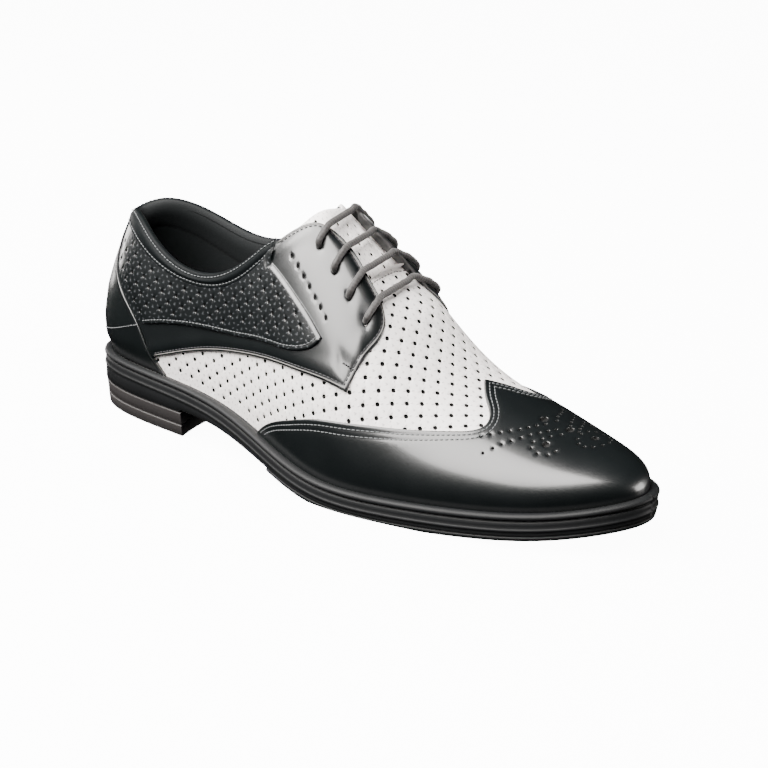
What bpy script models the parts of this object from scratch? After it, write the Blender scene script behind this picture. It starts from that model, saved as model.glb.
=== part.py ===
"""Wingtip lace-up shoe for the right foot, standing on its sole with its toe along +X.

The finished outside of the upper is one surface, worked out from a table of sections of the last.
Each leather piece is a sheet at its own depth under or over that surface. Each sole piece follows
the feather line, where the surface meets the sole.
"""

import math

import bmesh
import bpy
import numpy as np

# Sizes of the last
LAST_LENGTH = 0.296
BALL_WIDTH = 0.094
INSTEP_RISE = 0.100
HEEL_PITCH = 0.022
BACK_HEIGHT = 0.070

# Sheets of the upper
CLEARANCE = 0.0003
LEATHER = 0.0012
SHELL_WALL = 0.0018
PANEL_WALL = 0.0008
PADDING = 0.0014
TONGUE_WALL = 0.0020

# Sole, welt and heel
WELT_REACH = 0.0043
WELT_DEPTH = 0.0020
WELT_CROWN = 0.0005
SOLE_INSET = 0.0005
SOLE_BODY = 0.0092
SOLE_GROOVE = 0.0008
SOLE_FACE_TOP = 0.0030
RIB_TOP = 0.0058
RIB_BOTTOM = 0.0072
RIB_REACH = 0.0004
RIB_SLOPE = 0.0003
SOLE_UNDERCUT = 0.0003
TREAD_DEPTH = 0.0021
TREAD_START = 0.455
INSOLE_WALL = 0.0034
INSOLE_GAP = 0.0008
WELT_SHOULDER = 0.0012
WELT_CHAMFER = 0.0002
HEEL_LENGTH = 0.0695
BREAST_CURVE = 0.0050
TOP_PIECE_HEIGHT = 0.0057
HEEL_LIFT_HEIGHT = 0.0065
HEEL_TAPER = 0.0010

# How much deeper the sole body is than its depth at the ball, by share of the length
WAIST_SHARES = (0.22, 0.32, 0.44, 0.56, 1.0)
WAIST_EXTRA = (0.0027, 0.0014, 0.0005, 0.0, 0.0)

# Lace
LACE_DIAMETER = 0.0030
LACE_SIDES = 8
LACE_POINTS = 15
LACE_GAP = 0.0004
LACE_DIP = 0.0012
LACE_FREE = 0.5

# Sections of the last. Share runs from the heel's back to the toe's tip. Outer and inner are half
# widths and bulge is a swell, as shares of the ball width. Feather is the height of the feather
# line as a share of the heel pitch. Rise is the ridge over it as a share of the instep rise. Lift
# and full set how steep and how square the section is, and lean moves its ridge inward.
SECTION_COLUMNS = ("share", "outer", "inner", "feather", "rise", "bulge", "lift", "full", "lean")
SECTIONS = (
    (0.00, 0.330, 0.355, 1.22, 0.740, 0.065, 0.30, 0.52, 0.00),
    (0.08, 0.318, 0.345, 1.22, 0.880, 0.065, 0.31, 0.58, 0.00),
    (0.20, 0.318, 0.315, 1.18, 0.990, 0.050, 0.32, 0.60, 0.00),
    (0.32, 0.350, 0.272, 1.04, 1.070, 0.030, 0.34, 0.60, 0.00),
    (0.44, 0.450, 0.275, 0.76, 1.080, 0.040, 0.36, 0.62, 0.00),
    (0.56, 0.540, 0.350, 0.50, 0.900, 0.060, 0.40, 0.70, 0.02),
    (0.68, 0.517, 0.448, 0.48, 0.520, 0.060, 0.41, 0.77, 0.03),
    (0.80, 0.456, 0.478, 0.57, 0.330, 0.050, 0.44, 0.84, 0.03),
    (0.90, 0.400, 0.440, 0.73, 0.240, 0.050, 0.49, 0.89, 0.01),
    (1.00, 0.337, 0.372, 1.04, 0.184, 0.050, 0.55, 0.95, 0.00),
)
HEEL_ROUNDNESS = 13.0
TOE_ROUNDNESS = 8.0
CROWN_ROUNDNESS = 14.0
CROWN_POWER = 2.2

# The heel's back curve: share of the back height, and how far forward it lies, as a share of it
BACK_CURVE = (
    (-0.20, 0.060),
    (0.00, 0.037),
    (0.12, -0.006),
    (0.25, -0.017),
    (0.45, 0.009),
    (0.60, 0.054),
    (0.80, 0.121),
    (1.00, 0.200),
    (1.20, 0.286),
)
BACK_FADE = 0.35

# The opening's edge: climb on the outer and on the inner side, and the collar band's width
OPENING_COLUMNS = ("share", "outer", "inner", "band")
OPENING = (
    (0.00, 0.800, 0.800, 0.095),
    (0.10, 0.595, 0.625, 0.080),
    (0.24, 0.435, 0.482, 0.045),
    (0.36, 0.525, 0.560, 0.058),
    (0.44, 0.715, 0.725, 0.060),
    (0.49, 0.795, 0.805, 0.060),
    (0.56, 0.805, 0.815, 0.060),
)
THROAT_TURN = 0.56
THROAT_END = 0.61
COLLAR_FRONT = 0.405

# Outlines on the last, as share and climb
COUNTER_EDGE = ((0.185, 0.0), (0.159, 0.095), (0.137, 0.19), (0.098, 0.29), (0.078, 0.336),
                (0.043, 0.436), (0.018, 0.60), (0.012, 0.80))
QUARTER_FOOT = ((0.165, 0.077), (0.228, 0.136), (0.277, 0.173), (0.350, 0.218), (0.435, 0.273),
                (0.509, 0.322), (0.595, 0.395))
FACING_EDGE = ((0.560, 0.812), (0.580, 0.797), (0.596, 0.775))
FACING_END = ((0.607, 0.745), (0.612, 0.69), (0.608, 0.605), (0.600, 0.477), (0.595, 0.395))
PANEL_FOOT = ((0.137, 0.205), (0.199, 0.236), (0.254, 0.250), (0.354, 0.277), (0.417, 0.314),
              (0.469, 0.345), (0.504, 0.382), (0.531, 0.441), (0.539, 0.477))
PANEL_FLAP = ((0.539, 0.477), (0.509, 0.500), (0.474, 0.518), (0.443, 0.535), (0.409, 0.552))
WING_EDGE = ((0.413, 0.0), (0.430, 0.045), (0.487, 0.136), (0.522, 0.182), (0.595, 0.277),
             (0.655, 0.382), (0.707, 0.495), (0.750, 0.600), (0.772, 0.673), (0.780, 0.741),
             (0.776, 0.814), (0.754, 0.900), (0.731, 1.0))
TONGUE_TIP = 0.452
TONGUE_ROUND = 0.020
TONGUE_FOOT = 0.680
TONGUE_REACH = 0.40
EYELETS = ((0.483, 0.714), (0.520, 0.691), (0.554, 0.672), (0.587, 0.668))

# Counts of points along each outline, and tolerances
STATIONS = 31
SIDE_STEPS = 10
WING_STEPS = 26
COUNTER_STEPS = 14
FOOT_STEPS = 20
FRONT_STEPS = 12
FACING_STEPS = 8
BAND_STEPS = 18
FLAP_STEPS = 10
TREAD_STEPS = 21
HEEL_STEPS = 15
BREAST_STEPS = 7
CUT_SNAP = 2e-4
OPENING_STEPS = 26
TONGUE_STEPS = 8
BAND_GAP = 0.012
NORMAL_STEP = 0.002
LAST_TURN = 0.985
END_TOLERANCE = 1e-6
EDGE_TURN = 0.0025
PANEL_TOP_GAP = 0.01
PANEL_TOP_BACK = 0.035
SHARP_ANGLE = 40


def clear_scene():
    """Remove every object of the scene."""
    for leftover in list(bpy.data.objects):
        bpy.data.objects.remove(leftover, do_unlink=True)


def natural_curve(knots, values):
    """Return the natural cubic through the values as a function of numbers or arrays."""
    knots = np.asarray(knots, float)
    values = np.asarray(values, float)
    gaps = np.diff(knots)
    count = len(knots)
    system = np.eye(count)
    target = np.zeros(count)
    for row in range(1, count - 1):
        before, after = gaps[row - 1], gaps[row]
        system[row, row - 1:row + 2] = before, 2 * (before + after), after
        rates = (values[row + 1] - values[row]) / after - (values[row] - values[row - 1]) / before
        target[row] = 6 * rates
    bends = np.linalg.solve(system, target)

    def curve(place):
        place = np.asarray(place, float)
        left = np.clip(np.searchsorted(knots, place) - 1, 0, count - 2)
        gap = gaps[left]
        ahead = knots[left + 1] - place
        behind = place - knots[left]
        cubic = (bends[left] * ahead**3 + bends[left + 1] * behind**3) / (6 * gap)
        start = (values[left] / gap - bends[left] * gap / 6) * ahead
        end = (values[left + 1] / gap - bends[left + 1] * gap / 6) * behind
        return cubic + start + end

    return curve


def table_curves(columns, rows):
    """Return one smooth curve for each named column after the first."""
    data = np.array(rows)
    return {name: natural_curve(data[:, 0], data[:, place])
            for place, name in enumerate(columns) if place}


SECTION = table_curves(SECTION_COLUMNS, SECTIONS)
TOP_LINE = table_curves(OPENING_COLUMNS, OPENING)


def turn_of(share):
    """Turn is the share of a half circle that makes stations close together at both ends."""
    return np.arccos(np.clip(1 - 2 * np.asarray(share, float), -1, 1)) / math.pi


def share_of(turn):
    return (1 - np.cos(math.pi * np.asarray(turn, float))) / 2


def feather_height(share):
    return SECTION["feather"](share) * HEEL_PITCH


def plan_closure(share):
    """Return how far the width has opened from the heel's back and from the toe's tip."""
    heel = np.sqrt(np.clip(1 - (1 - share) ** HEEL_ROUNDNESS, 0, 1))
    toe = np.sqrt(np.clip(1 - share**TOE_ROUNDNESS, 0, 1))
    return heel * toe


def surface(turn, climb, side):
    """Return points of the finished outside; climb is 0 at the feather line and 1 at the ridge."""
    share = share_of(turn)
    climb = np.asarray(climb, float)
    closure = plan_closure(share)
    half = np.where(np.asarray(side) < 0, SECTION["outer"](share), SECTION["inner"](share))
    half = half * BALL_WIDTH * closure
    bulge = SECTION["bulge"](share) * BALL_WIDTH * closure
    rise = SECTION["rise"](share) * INSTEP_RISE
    rise = rise * np.clip(1 - share**CROWN_ROUNDNESS, 0, 1) ** (1 / CROWN_POWER)
    foot = (1 - climb) ** 3
    wall = 3 * climb * (1 - climb) ** 2
    shoulder = 3 * climb**2 * (1 - climb)
    ridge = climb**3
    across = foot * half + wall * (half + bulge) + shoulder * SECTION["full"](share) * half
    lean = SECTION["lean"](share) * BALL_WIDTH * closure * (shoulder + ridge)
    over = wall * SECTION["lift"](share) * rise + (shoulder + ridge) * rise
    heights, forward = np.array(BACK_CURVE).T
    back = np.interp(over / BACK_HEIGHT, heights, forward) * BACK_HEIGHT
    fade = np.clip(1 - share / BACK_FADE, 0, 1) ** 2
    return np.stack([share * LAST_LENGTH + back * fade, side * across + lean,
                     feather_height(share) + over], -1)


def normal(turn, climb, side):
    """Return the outward direction of the surface."""
    turn = np.clip(turn, 0, LAST_TURN)
    along = (surface(np.clip(turn + NORMAL_STEP, 0, 1), climb, side)
             - surface(np.clip(turn - NORMAL_STEP, 0, 1), climb, side))
    up = (surface(turn, np.clip(climb + NORMAL_STEP, 0, 1), side)
          - surface(turn, np.clip(climb - NORMAL_STEP, 0, 1), side))
    out = -np.asarray(side)[..., None] * np.cross(along, up)
    return out / np.linalg.norm(out, axis=-1, keepdims=True)


def skin(turn, climb, side, offset):
    """Return surface points moved outward by an offset, the same from both sides where they join."""
    turn, climb, side = np.broadcast_arrays(np.asarray(turn, float), climb, side)
    out = normal(turn, climb, side)
    other = normal(turn, climb, -side)
    joined = (turn < END_TOLERANCE) | (climb > 1 - END_TOLERANCE)
    out = np.where(joined[..., None], out + other, out)
    out = np.where((turn > 1 - END_TOLERANCE)[..., None], np.array([1.0, 0.0, 0.0]), out)
    out = out / np.maximum(np.linalg.norm(out, axis=-1, keepdims=True), END_TOLERANCE)
    return surface(turn, climb, side) + offset * out


def feather_point(turn, side, reach):
    """Return plan points of the feather line moved outward by a reach."""
    turn = np.asarray(turn, float)
    point = surface(turn, 0 * turn, side)[..., :2]
    ahead = surface(np.clip(turn + NORMAL_STEP, 0, 1), 0 * turn, side)[..., :2]
    behind = surface(np.clip(turn - NORMAL_STEP, 0, 1), 0 * turn, side)[..., :2]
    step = ahead - behind
    out = side * np.stack([-step[..., 1], step[..., 0]], -1)
    out = out / np.linalg.norm(out, axis=-1, keepdims=True)
    out = np.where((turn < END_TOLERANCE)[..., None], np.array([-1.0, 0.0]), out)
    out = np.where((turn > 1 - END_TOLERANCE)[..., None], np.array([1.0, 0.0]), out)
    return point + reach * out


def station_turns():
    """Return the turns of the stations, with one at the throat's end."""
    shares = share_of(np.linspace(0, 1, STATIONS + 1))
    shares[np.argmin(abs(shares - THROAT_END))] = THROAT_END
    return np.round(turn_of(shares), 6)


TURNS = station_turns()


def middle_of_outline():
    """Return the centre of the welt's outline in plan, which becomes the origin."""
    loop = np.concatenate([feather_point(TURNS, side, WELT_REACH) for side in (-1, 1)])
    return (loop.min(axis=0) + loop.max(axis=0)) / 2


MIDDLE = middle_of_outline()


def material(name, colour, roughness):
    """Return a material with a Principled shader."""
    made = bpy.data.materials.get(name)
    if made is None:
        made = bpy.data.materials.new(name)
        made.use_nodes = True
        shader = made.node_tree.nodes["Principled BSDF"]
        shader.inputs["Base Color"].default_value = (*colour, 1.0)
        shader.inputs["Roughness"].default_value = roughness
        shader.inputs["Metallic"].default_value = 0.0
    return made


def black_leather():
    return material("black_leather", (0.012, 0.012, 0.013), 0.22)


def white_leather():
    return material("white_leather", (0.74, 0.71, 0.68), 0.45)


def black_rubber():
    return material("black_rubber", (0.015, 0.015, 0.016), 0.42)


def insole_board():
    return material("insole_board", (0.03, 0.03, 0.032), 0.8)


def lace_cord():
    return material("lace_cord", (0.035, 0.032, 0.031), 0.55)


def add_object(name, points, faces, finish):
    """Make one mesh object about the part's origin, with its faces pointing out."""
    moved = np.asarray(points, float) - np.array([MIDDLE[0], MIDDLE[1], 0.0])
    mesh = bpy.data.meshes.new(name)
    mesh.from_pydata([tuple(point) for point in moved], [], [list(face) for face in faces])
    work = bmesh.new()
    work.from_mesh(mesh)
    bmesh.ops.recalc_face_normals(work, faces=work.faces)
    bmesh.ops.triangulate(work, faces=[face for face in work.faces if len(face.verts) > 3])
    work.to_mesh(mesh)
    work.free()
    mesh.shade_smooth()
    mesh.set_sharp_from_angle(angle=math.radians(SHARP_ANGLE))
    mesh.materials.append(finish)
    made = bpy.data.objects.new(name, mesh)
    bpy.context.scene.collection.objects.link(made)
    return made


def opening_climb(share, side):
    """Return the climb of the opening's edge, which closes over the ridge at the throat's end."""
    name = "outer" if side < 0 else "inner"
    edge = TOP_LINE[name](np.minimum(share, THROAT_TURN))
    bend = np.clip((share - THROAT_TURN) / (THROAT_END - THROAT_TURN), 0, 1)
    return edge + (1 - edge) * (1 - np.sqrt(1 - bend**2))


LEVELS = np.linspace(0, 1, SIDE_STEPS + 1)


def lattice(side, offset):
    """Return the net of points by turn and climb that every sheet of the upper is cut from."""
    net = skin(TURNS[:, None], LEVELS[None, :], side, offset)
    net[:, 0, 2] = feather_height(share_of(TURNS))
    return net


def on_lattice(net, turn, level):
    """Return the point of the net at a turn and level."""
    column = min(max(int(np.searchsorted(TURNS, turn, "right")) - 1, 0), len(TURNS) - 2)
    row = min(int(level * SIDE_STEPS), SIDE_STEPS - 1)
    run = (turn - TURNS[column]) / (TURNS[column + 1] - TURNS[column])
    up = (level - LEVELS[row]) / (LEVELS[row + 1] - LEVELS[row])
    low = net[column, row] * (1 - run) + net[column + 1, row] * run
    high = net[column, row + 1] * (1 - run) + net[column + 1, row + 1] * run
    return low * (1 - up) + high * up


def cells_of(outline):
    """Cut an outline in turn and level along every line of the net, and return the loops."""
    work = bmesh.new()
    work.faces.new([work.verts.new((turn, level, 0.0)) for turn, level in outline])
    cuts = [((turn, 0, 0), (1, 0, 0)) for turn in TURNS[1:-1]]
    cuts += [((0, level, 0), (0, 1, 0)) for level in LEVELS[1:-1]]
    for place, direction in cuts:
        everything = work.verts[:] + work.edges[:] + work.faces[:]
        bmesh.ops.bisect_plane(work, geom=everything, dist=CUT_SNAP, plane_co=place,
                               plane_no=direction)
    found = []
    for face in work.faces:
        loop = [tuple(round(float(value), 6) for value in vertex.co[:2]) for vertex in face.verts]
        first = loop.index(min(loop))
        loop = loop[first:] + loop[:first]
        found += [loop] if len(loop) != 4 else [[loop[0], loop[1], loop[2]],
                                               [loop[0], loop[2], loop[3]]]
    work.free()
    return found


def sheet(name, outlines, over, under, finish):
    """Make one closed sheet from its outline on each side, between two offsets.

    The sides are joined at the heel's back and at the ridge. Where the outline meets the feather
    line, the sheet goes on straight down beside the welt.
    """
    outer, inner, faces, feet = [], [], [], []
    for side, outline in outlines.items():
        nets = lattice(side, over), lattice(side, under)
        places = {}
        for loop in cells_of(outline):
            for point in loop:
                if point not in places:
                    places[point] = len(outer)
                    outer.append(on_lattice(nets[0], *point))
                    inner.append(on_lattice(nets[1], *point))
                    feet.append(point[1] == 0.0)
            faces.append([places[point] for point in loop])
    outer, inner, feet = np.array(outer), np.array(inner), np.array(feet)
    _, first, same = np.unique(np.round(outer, 6), axis=0, return_index=True, return_inverse=True)
    same = same.reshape(-1)
    outer, inner, feet = outer[first], inner[first], feet[first]
    rings = [unrepeated(same[face]) for face in faces]
    rings = [ring for ring in rings if len(set(ring)) > 2]
    foot_of = {}
    for one, other in single_edges(rings):
        if feet[one] and feet[other]:
            for corner in (one, other):
                foot_of.setdefault(corner, len(outer) + len(foot_of))
            rings.append([one, other, foot_of[other], foot_of[one]])
    down = np.array([0.0, 0.0, WELT_DEPTH])
    if foot_of:
        outer = np.concatenate([outer, outer[list(foot_of)] - down])
        inner = np.concatenate([inner, inner[list(foot_of)] - down])
    count = len(outer)
    walls = [[one, other, other + count, one + count] for one, other in single_edges(rings)]
    backs = [[corner + count for corner in ring] for ring in rings]
    return add_object(name, np.concatenate([outer, inner]), rings + backs + walls, finish)


def unrepeated(corners):
    """Return a face's corners without the ones that follow themselves."""
    return [int(corner) for place, corner in enumerate(corners) if corner != corners[place - 1]]


def single_edges(rings):
    """Return the edges that only one face has."""
    uses = {}
    for ring in rings:
        for place, corner in enumerate(ring):
            edge = tuple(sorted((ring[place - 1], corner)))
            uses[edge] = uses.get(edge, 0) + 1
    return [edge for edge, count in uses.items() if count == 1]


def smooth_line(points, count):
    """Return points spaced evenly along the smooth curve through a few points."""
    points = np.asarray(points, float)
    gaps = np.linalg.norm(np.diff(points, axis=0), axis=1)
    place = np.concatenate([[0], np.cumsum(gaps)]) / gaps.sum()
    curves = [natural_curve(place, points[:, axis]) for axis in (0, 1)]
    wanted = np.linspace(0, 1, count)
    return np.stack([curve(wanted) for curve in curves], -1)


def on_net(line):
    """Return a line of share and climb as points of turn and climb."""
    return [(float(turn_of(share)), float(climb)) for share, climb in line]


def opening_line(side, first, last):
    """Return the opening's edge on one side between two shares, as turn and climb."""
    turns = np.linspace(turn_of(first), turn_of(last), OPENING_STEPS)
    return on_net([(share, opening_climb(share, side)) for share in share_of(turns)])


def upper_shell():
    """The hollow upper: open at the collar and throat and underneath."""
    outlines = {}
    for side in (-1, 1):
        outlines[side] = opening_line(side, 0.0, THROAT_END) + [(1.0, 1.0), (1.0, 0.0), (0.0, 0.0)]
    over = -(LEATHER + CLEARANCE)
    return sheet("upper", outlines, over, over - SHELL_WALL, white_leather())


def toe_cap():
    """The wingtip: a cap over the toe, with a peak on the ridge and a wing along each side."""
    outlines = {}
    for side in (-1, 1):
        edge = on_net(smooth_line(WING_EDGE, WING_STEPS))
        outlines[side] = edge + [(edge[-1][0], 1.0), (1.0, 1.0), (1.0, 0.0)]
    return sheet("toe_cap", outlines, 0.0, -LEATHER, black_leather())


def counter_line(climbs, gap):
    """Return the counter's edge at the given climbs, moved forward by a gap in turn."""
    shares, places = np.array(COUNTER_EDGE).T
    edge = np.maximum(natural_curve(places, shares)(climbs), COUNTER_EDGE[-1][0])
    return np.stack([share_of(turn_of(edge) + gap), climbs], -1)


def heel_counter():
    """The counter wraps round the heel and narrows to the back strip."""
    outlines = {}
    for side in (-1, 1):
        top = float(opening_climb(COUNTER_EDGE[-1][0], side))
        edge = on_net(counter_line(np.linspace(0, top, COUNTER_STEPS), 0.0))
        outlines[side] = edge + [(0.0, float(opening_climb(0.0, side))), (0.0, 0.0)]
    return sheet("heel_counter", outlines, 0.0, -LEATHER, black_leather())


def quarter(name, side):
    """A quarter with its facing and tab."""
    top = float(opening_climb(COUNTER_EDGE[-1][0], side))
    back = counter_line(np.linspace(top, QUARTER_FOOT[0][1], COUNTER_STEPS), EDGE_TURN)
    foot = smooth_line([tuple(back[-1])] + list(QUARTER_FOOT[1:]), FOOT_STEPS)
    front = smooth_line(FACING_END[::-1], FRONT_STEPS)
    facing = smooth_line((FACING_END[0],) + FACING_EDGE[::-1], FACING_STEPS)
    line = np.concatenate([back, foot[1:], front[1:], facing[1:]])
    opening = opening_line(side, back[0][0], FACING_EDGE[0][0])[::-1]
    outline = on_net(line[1:-1]) + opening
    return sheet(name, {side: outline}, 0.0, -LEATHER, black_leather())


def band_line(side, gap):
    """Return the collar band's lower edge from the front to the back, lowered by a gap in climb."""
    shares = share_of(np.linspace(turn_of(COLLAR_FRONT), 0, BAND_STEPS))
    climbs = opening_climb(shares, side) - TOP_LINE["band"](shares) - gap
    return np.stack([shares, climbs], -1)


def side_panel(name, side):
    """The embossed panel on a quarter, between the collar, the counter and the front flap."""
    flap = smooth_line(PANEL_FLAP, FLAP_STEPS)
    top = band_line(side, BAND_GAP)
    top = top[(top[:, 0] < flap[-1][0] - PANEL_TOP_GAP) & (top[:, 0] > PANEL_TOP_BACK)]
    back = counter_line(np.linspace(top[-1][1], PANEL_FOOT[0][1], FLAP_STEPS), EDGE_TURN)
    foot = smooth_line([tuple(back[-1])] + list(PANEL_FOOT[1:]), FOOT_STEPS)
    line = np.concatenate([back, foot[1:], flap[1:], top])
    return sheet(name, {side: on_net(line)}, CLEARANCE + PANEL_WALL, CLEARANCE,
                 black_leather())


def collar():
    """The padded band along the opening, in one piece round the heel."""
    outlines = {}
    for side in (-1, 1):
        outlines[side] = on_net(band_line(side, 0.0)) + opening_line(side, 0.0, COLLAR_FRONT)
    return sheet("collar", outlines, CLEARANCE + PADDING, CLEARANCE, black_leather())


def tongue():
    """The tongue lies inside the throat and runs under the vamp."""
    outlines = {}
    for side in (-1, 1):
        bend = np.linspace(0, math.pi / 2, TONGUE_STEPS)
        tip = np.stack([TONGUE_TIP + TONGUE_ROUND * (1 - np.cos(bend)),
                        1 - TONGUE_REACH * np.sin(bend)], -1)
        foot = [(TONGUE_FOOT, 1 - TONGUE_REACH), (TONGUE_FOOT, 1.0)]
        outlines[side] = on_net(list(tip) + foot)
    over = -(LEATHER + SHELL_WALL + 2 * CLEARANCE)
    return sheet("tongue", outlines, over, over - TONGUE_WALL, white_leather())


def ladder(name, levels, turn, finish):
    """Make a closed solid from loops round the sole, each a reach and a function of height."""
    count = len(turn)
    share = share_of(turn)
    points, faces = [], []
    for reach, height in levels:
        heights = height(share)
        for side in (-1, 1):
            plan = feather_point(turn, side, reach)
            points.append(np.column_stack([plan, heights]))
    points = np.concatenate(points)
    loop = list(range(count)) + list(range(2 * count - 1, count - 1, -1))
    for level in range(len(levels) - 1):
        base, above = 2 * count * level, 2 * count * (level + 1)
        for place, corner in enumerate(loop):
            before = loop[place - 1]
            faces.append((base + before, base + corner, above + corner, above + before))
    for level in (0, len(levels) - 1):
        base = 2 * count * level
        for step in range(count - 1):
            faces.append((base + step, base + step + 1, base + count + step + 1, base + count + step))
    return add_merged(name, points, faces, finish)


def add_merged(name, points, faces, finish):
    """Join points that coincide, drop the faces that vanish and make the object."""
    _, first, same = np.unique(np.round(points, 7), axis=0, return_index=True, return_inverse=True)
    same = same.reshape(-1)
    kept = []
    for face in faces:
        ring = same[list(face)]
        ring = [corner for place, corner in enumerate(ring) if corner != ring[place - 1]]
        if len(set(ring)) > 2:
            kept.append(ring)
    return add_object(name, points[first], kept, finish)


def heel_seat_height():
    return TOP_PIECE_HEIGHT + HEEL_LIFT_HEIGHT + CLEARANCE


def under_feather(depth):
    """Return a function from share to the height at a depth under the feather line."""
    def height(share):
        return feather_height(share) - depth

    return height


def waist_depth(share):
    """Return the sole body's depth under the feather line in front of the heel."""
    return SOLE_BODY + np.interp(share, WAIST_SHARES, WAIST_EXTRA)


def body_underside(share):
    """Return the height of the sole body's underside, which is flat over the heel."""
    front = feather_height(share) - waist_depth(share)
    breast = HEEL_LENGTH / LAST_LENGTH
    return np.where(share < breast, heel_seat_height(), front)


def outsole():
    """The sole in one with the heel's upper band: a groove under the welt and a rib round its side."""
    edge = WELT_REACH - SOLE_INSET
    levels = [
        (edge - SOLE_GROOVE, under_feather(WELT_DEPTH + CLEARANCE)),
        (edge, under_feather(SOLE_FACE_TOP)),
        (edge, under_feather(RIB_TOP)),
        (edge + RIB_REACH, under_feather(RIB_TOP + RIB_SLOPE)),
        (edge + RIB_REACH, under_feather(RIB_BOTTOM - RIB_SLOPE)),
        (edge, under_feather(RIB_BOTTOM)),
        (edge - SOLE_UNDERCUT, body_underside),
    ]
    return ladder("outsole", levels, TURNS, black_rubber())


def tread_bottom(share):
    """Return the tread's lower face: it rests on the floor under the ball and springs to the toe."""
    free = feather_height(share) - waist_depth(share) - TREAD_DEPTH
    return np.maximum(free, 0.0)


def tread_top(share):
    return feather_height(share) - waist_depth(share) - CLEARANCE


def forepart_tread():
    """The thin layer under the forepart, which meets the floor."""
    edge = WELT_REACH - SOLE_INSET - SOLE_UNDERCUT
    turn = np.linspace(turn_of(TREAD_START), 1, TREAD_STEPS)
    levels = [(edge, tread_top), (edge - SOLE_UNDERCUT, tread_bottom)]
    return ladder("forepart_tread", levels, turn, black_rubber())


def insole():
    """The inner floor of the shoe, inside the foot of the upper."""
    reach = -(LEATHER + SHELL_WALL + INSOLE_GAP)
    levels = [(reach, under_feather(WELT_DEPTH)), (reach, under_feather(WELT_DEPTH - INSOLE_WALL))]
    return ladder("insole", levels, TURNS, insole_board())


def welt():
    """The raised rim round the sole's top edge, as a ring."""
    edge = WELT_REACH - WELT_CHAMFER
    profile = ((CLEARANCE, -WELT_DEPTH), (edge, -WELT_DEPTH), (WELT_REACH, -WELT_SHOULDER),
               (edge, -WELT_CHAMFER), (WELT_REACH - WELT_SHOULDER, WELT_CROWN),
               (CLEARANCE, WELT_CROWN - WELT_CHAMFER))
    turn = TURNS
    count = len(turn)
    heights = feather_height(share_of(turn))
    points, faces = [], []
    for reach, height in profile:
        near = np.column_stack([feather_point(turn, -1, reach), heights + height])
        far = np.column_stack([feather_point(turn, 1, reach), heights + height])
        points.append(np.concatenate([near, far[::-1][1:-1]]))
    around = 2 * count - 2
    for level in range(len(profile)):
        for step in range(around):
            ahead = (step + 1) % around
            after = (level + 1) % len(profile)
            faces.append((level * around + step, level * around + ahead,
                          after * around + ahead, after * around + step))
    return add_object("welt", np.concatenate(points), faces, black_rubber())


def heel_outline(reach, length):
    """Return the plan loop of a heel piece, with its front face hollowed."""
    turn = np.linspace(0, turn_of(length / LAST_LENGTH), HEEL_STEPS)
    near, far = (feather_point(turn, side, reach) for side in (-1, 1))
    across = np.linspace(-1, 1, BREAST_STEPS)[1:-1]
    front = [near[-1] + (far[-1] - near[-1]) * (place + 1) / 2
             - np.array([BREAST_CURVE * (1 - place**2), 0.0]) for place in across]
    return np.concatenate([near, front, far[::-1][:-1]])


def heel_piece(name, floor, ceiling, reach_floor, reach_ceiling):
    """A slab of the heel between two heights."""
    low = heel_outline(reach_floor, HEEL_LENGTH)
    high = heel_outline(reach_ceiling, HEEL_LENGTH)
    count = len(low)
    points = np.concatenate([np.column_stack([low, np.full(count, floor)]),
                             np.column_stack([high, np.full(count, ceiling)])])
    faces = [tuple(range(count)), tuple(range(2 * count - 1, count - 1, -1))]
    for place in range(count):
        after = (place + 1) % count
        faces.append((place, after, count + after, count + place))
    return add_object(name, points, faces, black_rubber())


def heel():
    """The two lower bands of the heel: the piece that meets the floor and the lift on it."""
    edge = WELT_REACH - SOLE_INSET - SOLE_UNDERCUT
    share = TOP_PIECE_HEIGHT / heel_seat_height()
    low = edge - HEEL_TAPER
    middle = edge - HEEL_TAPER * (1 - share)
    heel_piece("heel_top_piece", 0.0, TOP_PIECE_HEIGHT, low, middle)
    heel_piece("heel_lift", TOP_PIECE_HEIGHT + CLEARANCE, heel_seat_height() - CLEARANCE, middle, edge)


def lace_bar(number, share, climb):
    """One bar of the lace, from eyelet to eyelet over the throat."""
    radius = LACE_DIAMETER / 2
    rest = LACE_GAP + radius
    spread = np.linspace(-1, 1, LACE_POINTS)
    climbs = 1 - (1 - climb) * abs(spread)
    sides = np.where(spread < 0, -1, 1)
    turn = np.full(LACE_POINTS, float(turn_of(share)))
    dip = LACE_DIP * np.clip(1 - (spread / LACE_FREE) ** 2, 0, 1)
    base = surface(turn, climbs, sides)
    out = skin(turn, climbs, sides, 1.0) - base
    centre = base + out * (rest - dip)[:, None]
    points, faces = [], []
    for place in range(LACE_POINTS):
        run = centre[min(place + 1, LACE_POINTS - 1)] - centre[max(place - 1, 0)]
        run = run / np.linalg.norm(run)
        up = out[place] - run * np.dot(out[place], run)
        up = up / np.linalg.norm(up)
        across = np.cross(run, up)
        for step in range(LACE_SIDES):
            angle = 2 * math.pi * step / LACE_SIDES
            points.append(centre[place] + radius * (math.cos(angle) * up + math.sin(angle) * across))
    for place in range(LACE_POINTS - 1):
        for step in range(LACE_SIDES):
            after = (step + 1) % LACE_SIDES
            faces.append((place * LACE_SIDES + step, place * LACE_SIDES + after,
                          (place + 1) * LACE_SIDES + after, (place + 1) * LACE_SIDES + step))
    faces.append(tuple(range(LACE_SIDES)))
    faces.append(tuple(range(LACE_SIDES * (LACE_POINTS - 1), LACE_SIDES * LACE_POINTS)))
    return add_object(f"lace_bar_{number}", points, faces, lace_cord())


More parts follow.
